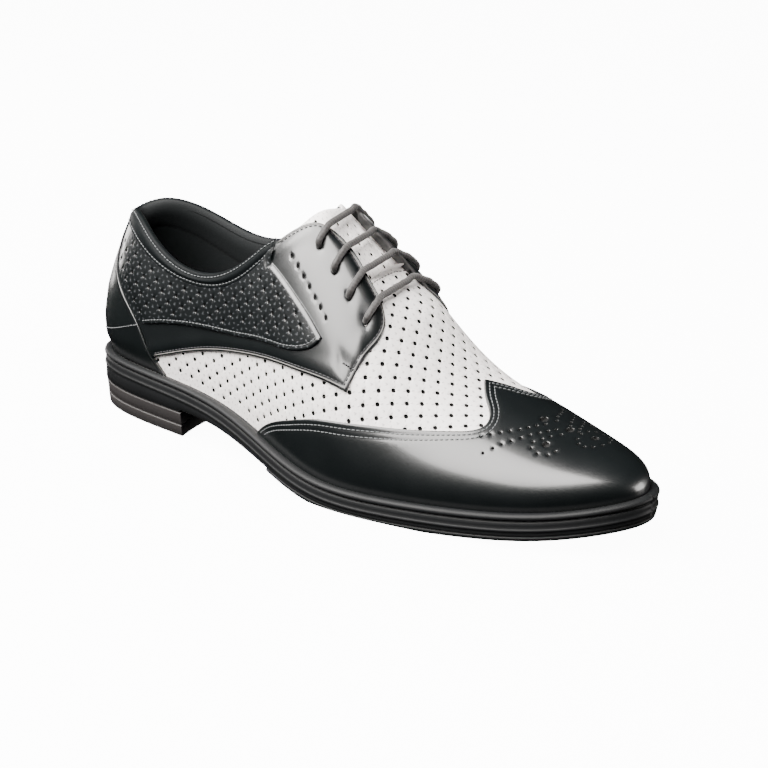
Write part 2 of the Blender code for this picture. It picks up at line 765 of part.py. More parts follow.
def build():
    """Make the shoe from the floor up."""
    clear_scene()
    heel()
    forepart_tread()
    outsole()
    welt()
    insole()
    upper_shell()
    tongue()
    heel_counter()
    quarter("quarter_outer", -1)
    quarter("quarter_inner", 1)
    toe_cap()
    side_panel("side_panel_outer", -1)
    side_panel("side_panel_inner", 1)
    collar()
    for number, (share, climb) in enumerate(EYELETS, 1):
        lace_bar(number, share, climb)


build()
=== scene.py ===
"""Wingtip lace-up shoe for the right foot: its leathers, seams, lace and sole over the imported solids.

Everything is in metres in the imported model's frame: +X to the toe, +Y to the inner side, +Z up.
"""

import logging
import math
from collections.abc import Callable, Sequence
from dataclasses import dataclass, field
from enum import Enum

import bpy
import numpy as np
from mathutils import Matrix, Vector
from mathutils.geometry import delaunay_2d_cdt

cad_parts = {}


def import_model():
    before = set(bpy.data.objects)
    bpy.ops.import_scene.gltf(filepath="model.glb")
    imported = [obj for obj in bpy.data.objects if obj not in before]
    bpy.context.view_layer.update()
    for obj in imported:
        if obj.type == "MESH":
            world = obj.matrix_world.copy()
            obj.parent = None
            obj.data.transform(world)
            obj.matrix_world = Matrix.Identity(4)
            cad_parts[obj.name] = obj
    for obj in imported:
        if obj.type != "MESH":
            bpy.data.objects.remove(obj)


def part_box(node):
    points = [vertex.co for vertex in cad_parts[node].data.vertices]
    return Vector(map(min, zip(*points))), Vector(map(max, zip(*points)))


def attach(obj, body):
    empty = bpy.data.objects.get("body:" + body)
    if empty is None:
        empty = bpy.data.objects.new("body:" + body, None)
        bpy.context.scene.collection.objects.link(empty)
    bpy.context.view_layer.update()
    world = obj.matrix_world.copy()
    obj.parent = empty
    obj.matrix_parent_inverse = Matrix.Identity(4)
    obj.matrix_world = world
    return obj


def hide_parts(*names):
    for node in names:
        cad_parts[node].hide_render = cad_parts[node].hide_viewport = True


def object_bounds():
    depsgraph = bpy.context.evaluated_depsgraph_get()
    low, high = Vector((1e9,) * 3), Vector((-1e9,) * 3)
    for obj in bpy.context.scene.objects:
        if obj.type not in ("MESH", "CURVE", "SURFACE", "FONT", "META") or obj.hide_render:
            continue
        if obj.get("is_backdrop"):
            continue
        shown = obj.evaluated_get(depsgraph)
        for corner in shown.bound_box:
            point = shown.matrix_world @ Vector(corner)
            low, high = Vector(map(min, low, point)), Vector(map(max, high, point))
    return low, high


Array = np.ndarray
Pairs = tuple[tuple[float, float], ...]
Mesh = tuple[np.ndarray, list[tuple[int, ...]]]
log = logging.getLogger("shoe")

MM = 0.001


class Side(Enum):
    """The two sides of the shoe, by the sign of Y."""

    OUTER = -1
    INNER = 1


class Chart(Enum):
    """How a flat cut of leather is laid on the last."""

    OVER = "from the outer feather line over the ridge to the inner one"
    ROUND = "from the outer side round the heel's back to the inner one"


class Edge(Enum):
    """What happens along a stretch of a cut's outline."""

    CUT = "a cut edge that shows, with a row of stitches inside it"
    PLAIN = "a cut edge that shows and isn't stitched"
    FOOT = "the feather line, where the leather goes down beside the welt"
    HIDDEN = "an edge that lies under another piece"


# ---------------------------------------------------------------- curves


def natural_curve(knots: Sequence[float], values: Sequence[float]) -> Callable[[Array], Array]:
    """Make the natural cubic through some values.

    Args:
        knots: Rising places.
        values: The value at each place.

    Returns:
        A function of numbers or arrays.
    """
    knots, values = np.asarray(knots, float), np.asarray(values, float)
    gaps = np.diff(knots)
    count = len(knots)
    system, target = np.eye(count), np.zeros(count)
    for row in range(1, count - 1):
        before, after = gaps[row - 1], gaps[row]
        system[row, row - 1:row + 2] = before, 2 * (before + after), after
        target[row] = 6 * ((values[row + 1] - values[row]) / after
                           - (values[row] - values[row - 1]) / before)
    bends = np.linalg.solve(system, target)

    def curve(place: Array) -> Array:
        """Return the cubic's value at each place."""
        place = np.asarray(place, float)
        left = np.clip(np.searchsorted(knots, place) - 1, 0, count - 2)
        gap, ahead, behind = gaps[left], knots[left + 1] - place, place - knots[left]
        cubic = (bends[left] * ahead**3 + bends[left + 1] * behind**3) / (6 * gap)
        start = (values[left] / gap - bends[left] * gap / 6) * ahead
        return cubic + start + (values[left + 1] / gap - bends[left + 1] * gap / 6) * behind

    return curve


def smooth_line(points: Sequence[Sequence[float]], count: int) -> Array:
    """Space points evenly along the smooth curve through a few points.

    Args:
        points: The points the curve goes through.
        count: How many points come back.

    Returns:
        The points, one to a row.
    """
    points = np.asarray(points, float)
    gaps = np.linalg.norm(np.diff(points, axis=0), axis=1)
    place = np.concatenate([[0], np.cumsum(gaps)]) / gaps.sum()
    wanted = np.linspace(0, 1, count)
    return np.stack([natural_curve(place, column)(wanted) for column in points.T], -1)


def even_line(points: Array, spacing: float) -> Array:
    """Space points evenly along straight runs.

    Args:
        points: Corners of the line.
        spacing: The wanted distance between points.

    Returns:
        The points, with both ends kept.
    """
    gaps = np.linalg.norm(np.diff(points, axis=0), axis=1)
    place = np.concatenate([[0], np.cumsum(gaps)])
    wanted = np.linspace(0, place[-1], max(2, int(round(place[-1] / spacing)) + 1))
    return np.stack([np.interp(wanted, place, column) for column in points.T], -1)


def smooth_step(low: float, high: float, value: Array) -> Array:
    """Return 0 under low, 1 over high and a smooth rise between."""
    part = np.clip((value - low) / (high - low), 0, 1)
    return part * part * (3 - 2 * part)


def bell(value: Array, width: float) -> Array:
    """Return a soft bump that is 1 at 0 and has the given half width."""
    return np.exp(-(value / width) ** 2)


def line_distance(points: Array, starts: Array, ends: Array) -> Array:
    """Measure how far points are from the nearest of some straight runs.

    Args:
        points: Points in the plane or in space.
        starts: Where each run starts.
        ends: Where each run ends.

    Returns:
        One distance for each point.
    """
    best = np.full(len(points), 1e9)
    for block in range(0, len(points), 2000):
        here = points[block:block + 2000, None, :]
        run = ends - starts
        length = np.maximum((run**2).sum(-1), 1e-18)
        part = np.clip(((here - starts) * run).sum(-1) / length, 0, 1)
        gap = np.linalg.norm(here - starts - part[..., None] * run, axis=-1)
        best[block:block + 2000] = gap.min(axis=1)
    return best


def inside(points: Array, loop: Array) -> Array:
    """Tell which points of the plane lie inside a closed loop."""
    found = np.zeros(len(points), bool)
    x, y = points[:, 0], points[:, 1]
    for (x0, y0), (x1, y1) in zip(loop, np.roll(loop, -1, axis=0)):
        if y0 != y1:
            crosses = (y0 > y) != (y1 > y)
            found ^= crosses & (x < (x1 - x0) * (y - y0) / (y1 - y0) + x0)
    return found


# ---------------------------------------------------------------- the last


@dataclass
class Last:
    """The finished outside of the upper, worked out from a table of sections.

    Turn is 0 at the heel's back and 1 at the toe's tip, and share is the same as a share of the
    length. Climb is 0 at the feather line and 1 at the ridge.
    """

    length: float = 0.296
    ball_width: float = 0.094
    instep_rise: float = 0.100
    heel_pitch: float = 0.022
    back_height: float = 0.070
    welt_reach: float = 0.0043
    heel_roundness: float = 13.0
    toe_roundness: float = 8.0
    crown_roundness: float = 14.0
    crown_power: float = 2.2
    back_fade: float = 0.35
    throat_turn: float = 0.56
    throat_end: float = 0.61
    step: float = 0.002
    last_turn: float = 0.985
    columns: tuple[str, ...] = ("outer", "inner", "feather", "rise", "bulge", "lift", "full",
                                "lean")
    sections: tuple[tuple[float, ...], ...] = (
        (0.00, 0.330, 0.355, 1.22, 0.740, 0.065, 0.30, 0.52, 0.00),
        (0.08, 0.318, 0.345, 1.22, 0.880, 0.065, 0.31, 0.58, 0.00),
        (0.20, 0.318, 0.315, 1.18, 0.990, 0.050, 0.32, 0.60, 0.00),
        (0.32, 0.350, 0.272, 1.04, 1.070, 0.030, 0.34, 0.60, 0.00),
        (0.44, 0.450, 0.275, 0.76, 1.080, 0.040, 0.36, 0.62, 0.00),
        (0.56, 0.540, 0.350, 0.50, 0.900, 0.060, 0.40, 0.70, 0.02),
        (0.68, 0.517, 0.448, 0.48, 0.520, 0.060, 0.41, 0.77, 0.03),
        (0.80, 0.456, 0.478, 0.57, 0.330, 0.050, 0.44, 0.84, 0.03),
        (0.90, 0.400, 0.440, 0.73, 0.240, 0.050, 0.49, 0.89, 0.01),
        (1.00, 0.337, 0.372, 1.04, 0.184, 0.050, 0.55, 0.95, 0.00),
    )
    back_curve: Pairs = (
        (-0.20, 0.060), (0.00, 0.037), (0.12, -0.006), (0.25, -0.017), (0.45, 0.009),
        (0.60, 0.054), (0.80, 0.121), (1.00, 0.200), (1.20, 0.286),
    )
    opening: tuple[tuple[float, float, float, float], ...] = (
        (0.00, 0.800, 0.800, 0.095), (0.10, 0.595, 0.625, 0.080), (0.24, 0.435, 0.482, 0.045),
        (0.36, 0.525, 0.560, 0.058), (0.44, 0.715, 0.725, 0.060), (0.49, 0.795, 0.805, 0.060),
        (0.56, 0.805, 0.815, 0.060),
    )
    middle: Array = field(default_factory=lambda: np.zeros(2))

    def __post_init__(self) -> None:
        """Make the smooth curves, the tables of lengths and the place of the origin."""
        data = np.array(self.sections)
        self.curve = {name: natural_curve(data[:, 0], data[:, place + 1])
                      for place, name in enumerate(self.columns)}
        edge = np.array(self.opening)
        self.top = {Side.OUTER: natural_curve(edge[:, 0], edge[:, 1]),
                    Side.INNER: natural_curve(edge[:, 0], edge[:, 2])}
        self.band = natural_curve(edge[:, 0], edge[:, 3])
        turns = np.linspace(0, 1, 401)
        rim = np.concatenate([self.feather(turns, side, self.welt_reach)[:, :2] for side in (-1, 1)])
        low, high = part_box("welt")
        self.middle = (rim.min(axis=0) + rim.max(axis=0) - np.array(low[:2]) - np.array(high[:2])) / 2
        self.turns = turns
        climbs = np.linspace(0, 1, 61)
        self.girths = {}
        for side in Side:
            net = self.surface(turns[:, None], climbs[None, :], side.value)
            self.girths[side] = np.linalg.norm(np.diff(net, axis=1), axis=-1).sum(axis=1)
        along = self.surface(turns, 0.35 + 0 * turns, -1)
        self.run = np.concatenate([[0], np.cumsum(np.linalg.norm(np.diff(along, axis=0), axis=1))])

    @staticmethod
    def turn_of(share: Array) -> Array:
        """Return the turn at a share of the length."""
        return np.arccos(np.clip(1 - 2 * np.asarray(share, float), -1, 1)) / math.pi

    @staticmethod
    def share_of(turn: Array) -> Array:
        """Return the share of the length at a turn."""
        return (1 - np.cos(math.pi * np.asarray(turn, float))) / 2

    def feather_height(self, share: Array) -> Array:
        """Return the height of the feather line over the floor."""
        return self.curve["feather"](share) * self.heel_pitch

    def surface(self, turn: Array, climb: Array, side: Array) -> Array:
        """Return points of the finished outside.

        Args:
            turn: Where along the shoe.
            climb: Where round it.
            side: -1 on the outer side and 1 on the inner one.

        Returns:
            Points in space.
        """
        share, climb, side = self.share_of(turn), np.asarray(climb, float), np.asarray(side)
        heel = np.sqrt(np.clip(1 - (1 - share) ** self.heel_roundness, 0, 1))
        closure = heel * np.sqrt(np.clip(1 - share**self.toe_roundness, 0, 1)) * self.ball_width
        half = np.where(side < 0, self.curve["outer"](share), self.curve["inner"](share)) * closure
        crown = np.clip(1 - share**self.crown_roundness, 0, 1) ** (1 / self.crown_power)
        rise = self.curve["rise"](share) * self.instep_rise * crown
        foot, wall = (1 - climb) ** 3, 3 * climb * (1 - climb) ** 2
        shoulder, ridge = 3 * climb**2 * (1 - climb), climb**3
        across = (foot * half + wall * (half + self.curve["bulge"](share) * closure)
                  + shoulder * self.curve["full"](share) * half)
        lean = self.curve["lean"](share) * closure * (shoulder + ridge)
        over = wall * self.curve["lift"](share) * rise + (shoulder + ridge) * rise
        heights, forward = np.array(self.back_curve).T
        back = np.interp(over / self.back_height, heights, forward) * self.back_height
        fade = np.clip(1 - share / self.back_fade, 0, 1) ** 2
        return np.stack([share * self.length + back * fade - self.middle[0],
                         side * across + lean - self.middle[1],
                         self.feather_height(share) + over], -1)

    def normal(self, turn: Array, climb: Array, side: Array) -> Array:
        """Return the outward direction at points of the surface."""
        turn = np.clip(turn, 0, self.last_turn)
        step = self.step
        along = (self.surface(np.clip(turn + step, 0, 1), climb, side)
                 - self.surface(np.clip(turn - step, 0, 1), climb, side))
        up = (self.surface(turn, np.clip(climb + step, 0, 1), side)
              - self.surface(turn, np.clip(climb - step, 0, 1), side))
        out = -np.asarray(side)[..., None] * np.cross(along, up)
        return out / np.maximum(np.linalg.norm(out, axis=-1, keepdims=True), 1e-12)

    def outward(self, turn: Array, climb: Array, side: Array) -> Array:
        """Return the outward direction, the same from both sides where they join."""
        turn, climb, side = np.broadcast_arrays(np.asarray(turn, float), climb, side)
        out = self.normal(turn, climb, side)
        joined = (turn < 1e-6) | (climb > 1 - 1e-6)
        out = np.where(joined[..., None], out + self.normal(turn, climb, -side), out)
        out = np.where((turn > 1 - 1e-6)[..., None], np.array([1.0, 0.0, 0.0]), out)
        return out / np.linalg.norm(out, axis=-1, keepdims=True)

    def skin(self, turn: Array, climb: Array, side: Array, offset: Array) -> Array:
        """Return surface points moved outward by an offset."""
        moved = np.asarray(offset)[..., None] * self.outward(turn, climb, side)
        return self.surface(turn, climb, side) + moved

    def feather(self, turn: Array, side: int, reach: float) -> Array:
        """Return points of the feather line moved outward in plan by a reach."""
        turn = np.asarray(turn, float)
        point = self.surface(turn, 0 * turn, side)
        step = (self.surface(np.clip(turn + self.step, 0, 1), 0 * turn, side)
                - self.surface(np.clip(turn - self.step, 0, 1), 0 * turn, side))
        out = side * np.stack([-step[..., 1], step[..., 0], 0 * turn], -1)
        out = out / np.linalg.norm(out, axis=-1, keepdims=True)
        out = np.where((turn < 1e-6)[..., None], np.array([-1.0, 0.0, 0.0]), out)
        out = np.where((turn > 1 - 1e-6)[..., None], np.array([1.0, 0.0, 0.0]), out)
        return point + reach * out

    def opening_climb(self, share: Array, side: Side) -> Array:
        """Return the climb of the opening's edge, which closes over the ridge at the throat."""
        edge = self.top[side](np.minimum(share, self.throat_turn))
        bend = np.clip((share - self.throat_turn) / (self.throat_end - self.throat_turn), 0, 1)
        return edge + (1 - edge) * (1 - np.sqrt(1 - bend**2))

    def girth(self, turn: Array, side: Array) -> Array:
        """Return the way round from the feather line to the ridge."""
        return np.where(side < 0, np.interp(turn, self.turns, self.girths[Side.OUTER]),
                        np.interp(turn, self.turns, self.girths[Side.INNER]))

    def flat(self, chart: Chart, share: Array, climb: Array, side: Array) -> Array:
        """Lay places on the last out flat.

        Args:
            chart: How the leather is laid.
            share: Shares of the length.
            climb: Climbs from the feather line.
            side: The side, -1 or 1.

        Returns:
            Flat coordinates in metres: along the shoe, and round it.
        """
        turn, side = self.turn_of(share), np.asarray(side, float)
        run = np.interp(turn, self.turns, self.run)
        girth = self.girth(turn, side)
        if chart is Chart.OVER:
            return np.stack([run + 0 * side, side * (1 - climb) * girth], -1)
        return np.stack([side * run, climb * girth], -1)

    def place(self, chart: Chart, flat: Array) -> tuple[Array, Array, Array]:
        """Find the turn, climb and side of flat coordinates."""
        run = flat[..., 0] if chart is Chart.OVER else abs(flat[..., 0])
        side = np.where((flat[..., 1] if chart is Chart.OVER else flat[..., 0]) < 0, -1, 1)
        turn = np.interp(run, self.run, self.turns)
        girth = self.girth(turn, side)
        share_round = abs(flat[..., 1]) / np.maximum(girth, 1e-6)
        climb = 1 - share_round if chart is Chart.OVER else share_round
        return turn, np.clip(climb, 0, 1), side


# ---------------------------------------------------------------- meshes


def add_mesh(name: str, points: Array, faces: Sequence[Sequence[int]],
             finishes: Sequence[bpy.types.Material], kinds: Sequence[int] | None = None,
             cut: Array | None = None, smooth: bool = True) -> bpy.types.Object:
    """Make one mesh object.

    Args:
        name: The piece's name.
        points: Its corners.
        faces: Loops of corner numbers.
        finishes: Its materials.
        kinds: Which material each face takes.
        cut: Pattern coordinates of each corner, for its finish.
        smooth: Whether it is shaded smooth.

    Returns:
        The new object.
    """
    mesh = bpy.data.meshes.new(name)
    mesh.from_pydata(np.asarray(points, float).tolist(), [], [list(map(int, face)) for face in faces])
    for finish in finishes:
        mesh.materials.append(finish)
    if kinds is not None:
        mesh.polygons.foreach_set("material_index", np.asarray(kinds, np.int32))
    if cut is not None:
        corners = np.empty(len(mesh.loops), np.int32)
        mesh.loops.foreach_get("vertex_index", corners)
        layer = mesh.uv_layers.new(name="Cut")
        layer.data.foreach_set("uv", np.asarray(cut, np.float32)[corners].ravel())
    if smooth:
        mesh.shade_smooth()
    mesh.update()
    made = bpy.data.objects.new(name, mesh)
    bpy.context.scene.collection.objects.link(made)
    return made


def grid_faces(rows: int, columns: int, ring: bool = False) -> list[tuple[int, int, int, int]]:
    """List the faces of a grid of points, row by row, closed round its columns if it is a ring."""
    wide = columns if ring else columns - 1
    return [(row * columns + column, row * columns + (column + 1) % columns,
             (row + 1) * columns + (column + 1) % columns, (row + 1) * columns + column)
            for row in range(rows - 1) for column in range(wide)]


def joined(parts: Sequence[Mesh]) -> Mesh:
    """Join several meshes into one.

    Args:
        parts: The points and faces of each.

    Returns:
        All their points, and all their faces with the corners renumbered.
    """
    faces, count = [], 0
    for points, loops in parts:
        faces += [tuple(corner + count for corner in loop) for loop in loops]
        count += len(points)
    return np.concatenate([points for points, _ in parts]), faces


def tube(path: Array, radius: Array, sides: int) -> Mesh:
    """Sweep a round section along a path.

    Args:
        path: The centre line.
        radius: One radius for each point and side, or for each point.
        sides: Corners of the section.

    Returns:
        The points and the faces, with both ends closed.
    """
    count = len(path)
    run = np.gradient(path, axis=0)
    run /= np.linalg.norm(run, axis=1, keepdims=True)
    up = np.array([0.3, 0.1, 1.0])
    points = []
    angles = np.linspace(0, 2 * math.pi, sides, endpoint=False)
    radius = np.broadcast_to(np.asarray(radius, float).reshape(count, -1), (count, sides))
    for place in range(count):
        up = up - run[place] * (up @ run[place])
        up = up / np.linalg.norm(up)
        across = np.cross(run[place], up)
        points.append(path[place] + radius[place][:, None] * (np.outer(np.cos(angles), up)
                                                              + np.outer(np.sin(angles), across)))
    faces = grid_faces(count, sides, ring=True)
    faces += [tuple(range(sides))[::-1], tuple(range(sides * (count - 1), sides * count))]
    return np.concatenate(points), faces


@dataclass
class Stitches:
    """A row of stitches on a leather: one short arched thread after another."""

    pitch: float = 2.15 * MM
    length: float = 1.7 * MM
    radius: float = 0.26 * MM
    sides: int = 5

    def along(self, path: Array, out: Array) -> Mesh:
        """Lay stitches along a path.

        Args:
            path: Points on the leather.
            out: The outward direction at each point.

        Returns:
            The points and faces of all the stitches.
        """
        gaps = np.linalg.norm(np.diff(path, axis=0), axis=1)
        place = np.concatenate([[0], np.cumsum(gaps)])
        count = int(place[-1] / self.pitch)
        points, faces = [], []
        profile = ((-0.5, -0.5, 0.55), (-0.25, 0.35, 1.0), (0.25, 0.35, 1.0), (0.5, -0.5, 0.55))
        angles = np.linspace(0, 2 * math.pi, self.sides, endpoint=False)
        starts = (np.arange(count) + 0.5) * self.pitch
        for start in starts:
            base = len(points) * self.sides
            for reach, lift, thick in profile:
                here = start + reach * self.length
                point = np.array([np.interp(here, place, column) for column in path.T])
                ahead = np.array([np.interp(here + 0.2 * MM, place, column) for column in path.T])
                behind = np.array([np.interp(here - 0.2 * MM, place, column) for column in path.T])
                up = np.array([np.interp(here, place, column) for column in out.T])
                across = np.cross(ahead - behind, up)
                across /= max(np.linalg.norm(across), 1e-12)
                ring = point + up * lift * self.radius + self.radius * thick * (
                    np.outer(np.cos(angles), up) + np.outer(np.sin(angles), across))
                points.append(ring)
            faces += [tuple(base + corner for corner in face)
                      for face in grid_faces(len(profile), self.sides, ring=True)]
        return (np.concatenate(points) if points else np.zeros((0, 3))), faces


# ---------------------------------------------------------------- leather


@dataclass
class Hole:
    """A punched hole in a cut: its centre on the flat, its radius, its depth and its stretch there."""

    centre: tuple[float, float]
    radius: float
    depth: float = 1.1 * MM
    stretch: Pairs = ((1.0, 0.0), (0.0, 1.0))

    def rim(self, circle: Array, wider: float = 0.0) -> Array:
        """Return a unit circle's points round the hole, on the flat."""
        return np.array(self.centre) + (self.radius + wider) * circle @ np.array(self.stretch)

    def away(self, points: Array) -> Array:
        """Return how far flat points lie from the hole's centre, as measured on the shoe."""
        undo = np.linalg.inv(np.array(self.stretch))
        return np.linalg.norm((points - np.array(self.centre)) @ undo, axis=1)


@dataclass
class Cut:
    """One piece of leather: a flat outline laid on the last, with its edges, holes and relief."""

    last: Last
    chart: Chart
    arcs: list[tuple[Array, Edge]]
    over: float = 0.0
    under: float = -1.5 * MM
    holes: list[Hole] = field(default_factory=list)
    spacing: float = 1.7 * MM
    edge_spacing: float = 1.2 * MM
    seams: tuple[float, ...] = (1.9 * MM,)
    edge_round: float = 0.30 * MM
    seam_depth: float = 0.16 * MM
    foot_depth: float = 2.0 * MM
    relief: Callable[[Array, Array], Array] | None = None
    pattern: Callable[[Array], Array] | None = None
    hole_sides: int = 12

    def __post_init__(self) -> None:
        """Join the arcs into one loop that runs anticlockwise."""
        points, kinds = [], []
        for line, kind in self.arcs:
            stretch = even_line(line, self.edge_spacing)
            points.append(stretch[:-1])
            kinds += [kind] * (len(stretch) - 1)
        self.loop = np.concatenate(points)
        self.kinds = kinds
        after = np.roll(self.loop, -1, axis=0)
        area = (self.loop[:, 0] * after[:, 1] - after[:, 0] * self.loop[:, 1]).sum()
        if area < 0:
            self.loop = self.loop[::-1]
            self.kinds = self.kinds[::-1][1:] + self.kinds[::-1][:1]
        self.ends = np.roll(self.loop, -1, axis=0)
        self.shows = np.array([kind in (Edge.CUT, Edge.PLAIN) for kind in self.kinds])
        self.sewn = np.array([kind is Edge.CUT for kind in self.kinds])

    def edge_distance(self, flat: Array, sewn: bool = False) -> Array:
        """Return how far flat points lie from the nearest cut edge, or the nearest that is sewn."""
        edges = self.sewn if sewn else self.shows
        if not edges.any():
            return np.full(len(flat), 1.0)
        return line_distance(flat, self.loop[edges], self.ends[edges])

    def ring(self, reach: float, sewn: bool = False) -> Array:
        """Return the points of the loop's cut or sewn edges, moved inward."""
        before = self.loop - np.roll(self.loop, 1, axis=0)
        ahead = self.ends - self.loop
        before /= np.maximum(np.linalg.norm(before, axis=1, keepdims=True), 1e-12)
        ahead /= np.maximum(np.linalg.norm(ahead, axis=1, keepdims=True), 1e-12)
        way = before + ahead
        way /= np.maximum(np.linalg.norm(way, axis=1, keepdims=True), 1e-9)
        inward = np.stack([-way[:, 1], way[:, 0]], -1)
        square = np.maximum((way * ahead).sum(-1), 0.6)
        moved = self.loop + inward * (reach / square)[:, None]
        edges = self.sewn if sewn else self.shows
        kept = edges & np.roll(edges, 1)
        kept &= self.edge_distance(moved) > 0.88 * reach
        kept &= inside(moved, self.loop)
        return moved[kept]

    def height(self, flat: Array) -> Array:
        """Return how far points of the leather stand over the last."""
        gap = self.edge_distance(flat)
        inward = np.clip(gap / (2 * self.edge_round), 0, 1)
        high = self.over - self.edge_round * (1 - np.sqrt(1 - (1 - inward) ** 2))
        to_sewn = self.edge_distance(flat, sewn=True)
        for seam in self.seams:
            high = high - self.seam_depth * bell(to_sewn - seam, 0.55 * MM)
        if self.relief is not None:
            high = high + self.relief(flat, gap)
        return high

    def on_last(self, flat: Array, height: Array) -> Array:
        """Return points in space over flat points."""
        turn, climb, side = self.last.place(self.chart, flat)
        return self.last.skin(turn, climb, side, height)

    def inner_points(self) -> Array:
        """Return the points that fill the leather between its edges and holes."""
        low, high = self.loop.min(axis=0), self.loop.max(axis=0)
        rows = np.arange(low[1], high[1], self.spacing * math.sqrt(3) / 2)
        columns = np.arange(low[0], high[0], self.spacing)
        net = np.array([(x + (row % 2) * self.spacing / 2, y)
                        for row, y in enumerate(rows) for x in columns])
        net = net[inside(net, self.loop)]
        net = net[line_distance(net, self.loop, self.ends) > 0.5 * self.spacing]
        margin = (max(self.seams) + 1.0 * MM if self.seams else 0.9 * MM) + 0.4 * self.spacing
        net = net[self.edge_distance(net) > margin]
        for hole in self.holes:
            gap = np.linalg.norm(net - np.array(hole.centre), axis=1)
            net = net[gap > hole.radius + 0.22 * MM + 0.35 * self.spacing]
        return net

    def build(self, name: str, finishes: Sequence[bpy.types.Material]) -> bpy.types.Object:
        """Make the leather's mesh.

        Args:
            name: The piece's name.
            finishes: The leather's finish, and the near-black one down its holes, painted as their
                shade.

        Returns:
            The piece.
        """
        rings = [0.2 * MM, 0.6 * MM]
        for seam in self.seams:
            rings += [seam - 0.5 * MM, seam, seam + 0.5 * MM]
        if self.seams:
            rings.append(max(self.seams) + 1.1 * MM)
        loose = [self.ring(reach) for reach in sorted(set(rings))] + [self.inner_points()]
        angles = np.linspace(0, 2 * math.pi, self.hole_sides, endpoint=False)
        circle = np.stack([np.cos(angles), np.sin(angles)], -1)
        edges = [(place, (place + 1) % len(self.loop)) for place in range(len(self.loop))]
        fixed, rims = [self.loop], []
        count = len(self.loop)
        for hole in self.holes:
            fixed.append(hole.rim(circle))
            rims.append(list(range(count, count + self.hole_sides)))
            edges += [(rims[-1][step], rims[-1][(step + 1) % self.hole_sides])
                      for step in range(self.hole_sides)]
            count += self.hole_sides
            loose.append(hole.rim(circle, 0.22 * MM))
        given = np.concatenate(fixed + loose)
        scaled = [Vector(point) for point in (given / MM).tolist()]
        found = delaunay_2d_cdt(scaled, edges, [], 1, 1e-5)
        flat = np.array([tuple(point) for point in found[0]]) * MM
        home = {}
        for place, sources in enumerate(found[3]):
            for source in sources:
                home[source] = place
        faces = np.array([list(face) for face in found[2] if len(face) == 3])
        middles = flat[faces].mean(axis=1)
        for hole in self.holes:
            kept = hole.away(middles) > 0.9 * hole.radius
            faces, middles = faces[kept], middles[kept]
        height = self.height(flat)
        for rim in rims:
            for corner in rim:
                height[home[corner]] -= 0.12 * MM
        points = self.on_last(flat, height)
        turn, climb, side = self.last.place(self.chart, flat)
        corners = points[faces]
        facing = np.cross(corners[:, 1] - corners[:, 0], corners[:, 2] - corners[:, 0])
        if (facing * self.last.outward(turn, climb, side)[faces[:, 0]]).sum() < 0:
            faces = faces[:, ::-1]
        faces = faces.tolist()
        kinds = [0] * len(faces)
        extra_points, extra_flat = [], []

        def add(point: Array, at: Array) -> int:
            """Add a corner of a wall and return its number."""
            extra_points.append(point)
            extra_flat.append(at)
            return len(points) + len(extra_points) - 1

        lower = {}
        for place, kind in enumerate(self.kinds):
            if kind is Edge.HIDDEN:
                continue
            pair = []
            for corner in (place, (place + 1) % len(self.loop)):
                key = (corner, kind)
                if key not in lower:
                    top = home[corner]
                    if kind is not Edge.FOOT:
                        low_point = self.on_last(flat[top:top + 1], np.array([self.under]))[0]
                    else:
                        low_point = points[top] - np.array([0, 0, self.foot_depth])
                    lower[key] = add(low_point, flat[top])
                pair.append((home[corner], lower[key]))
            (one, one_low), (two, two_low) = pair
            faces.append([one, one_low, two_low, two])
            kinds.append(0)
        # Painted shade: each hole's wall and a floor across it take the near-black second finish for the
        # shade inside the hole.
        for rim, hole in zip(rims, self.holes):
            base = flat[[home[corner] for corner in rim]]
            floor = self.on_last(base, height[[home[corner] for corner in rim]] - hole.depth)
            low = [add(point, at) for point, at in zip(floor, base)]
            for step in range(self.hole_sides):
                after = (step + 1) % self.hole_sides
                faces.append([home[rim[step]], home[rim[after]], low[after], low[step]])
                kinds.append(1)
            faces.append(low)
            kinds.append(1)
        everything = np.concatenate([points, np.array(extra_points).reshape(-1, 3)])
        where = np.concatenate([flat, np.array(extra_flat).reshape(-1, 2)])
        cut = where / MM if self.pattern is None else self.pattern(where)
        return add_mesh(name, everything, faces, finishes, kinds, cut)

    def stitch_rows(self, lift: float = 0.05 * MM) -> list[tuple[Array, Array]]:
        """Return the path and the outward directions of each row of stitches."""
        rows = []
        for seam in self.seams:
            line = self.ring(seam, sewn=True)
            if len(line) < 3:
                continue
            gaps = np.linalg.norm(np.diff(line, axis=0), axis=1)
            breaks = np.nonzero(gaps > 4 * self.edge_spacing)[0] + 1
            stretches = np.split(line, breaks)
            if len(stretches) > 1 and np.linalg.norm(line[0] - line[-1]) < 4 * self.edge_spacing:
                stretches = [np.concatenate([stretches[-1], stretches[0]])] + stretches[1:-1]
            for stretch in stretches:
                if len(stretch) > 3:
                    turn, climb, side = self.last.place(self.chart, stretch)
                    rows.append((self.on_last(stretch, self.height(stretch) + lift),
                                 self.last.outward(turn, climb, side)))
        return rows


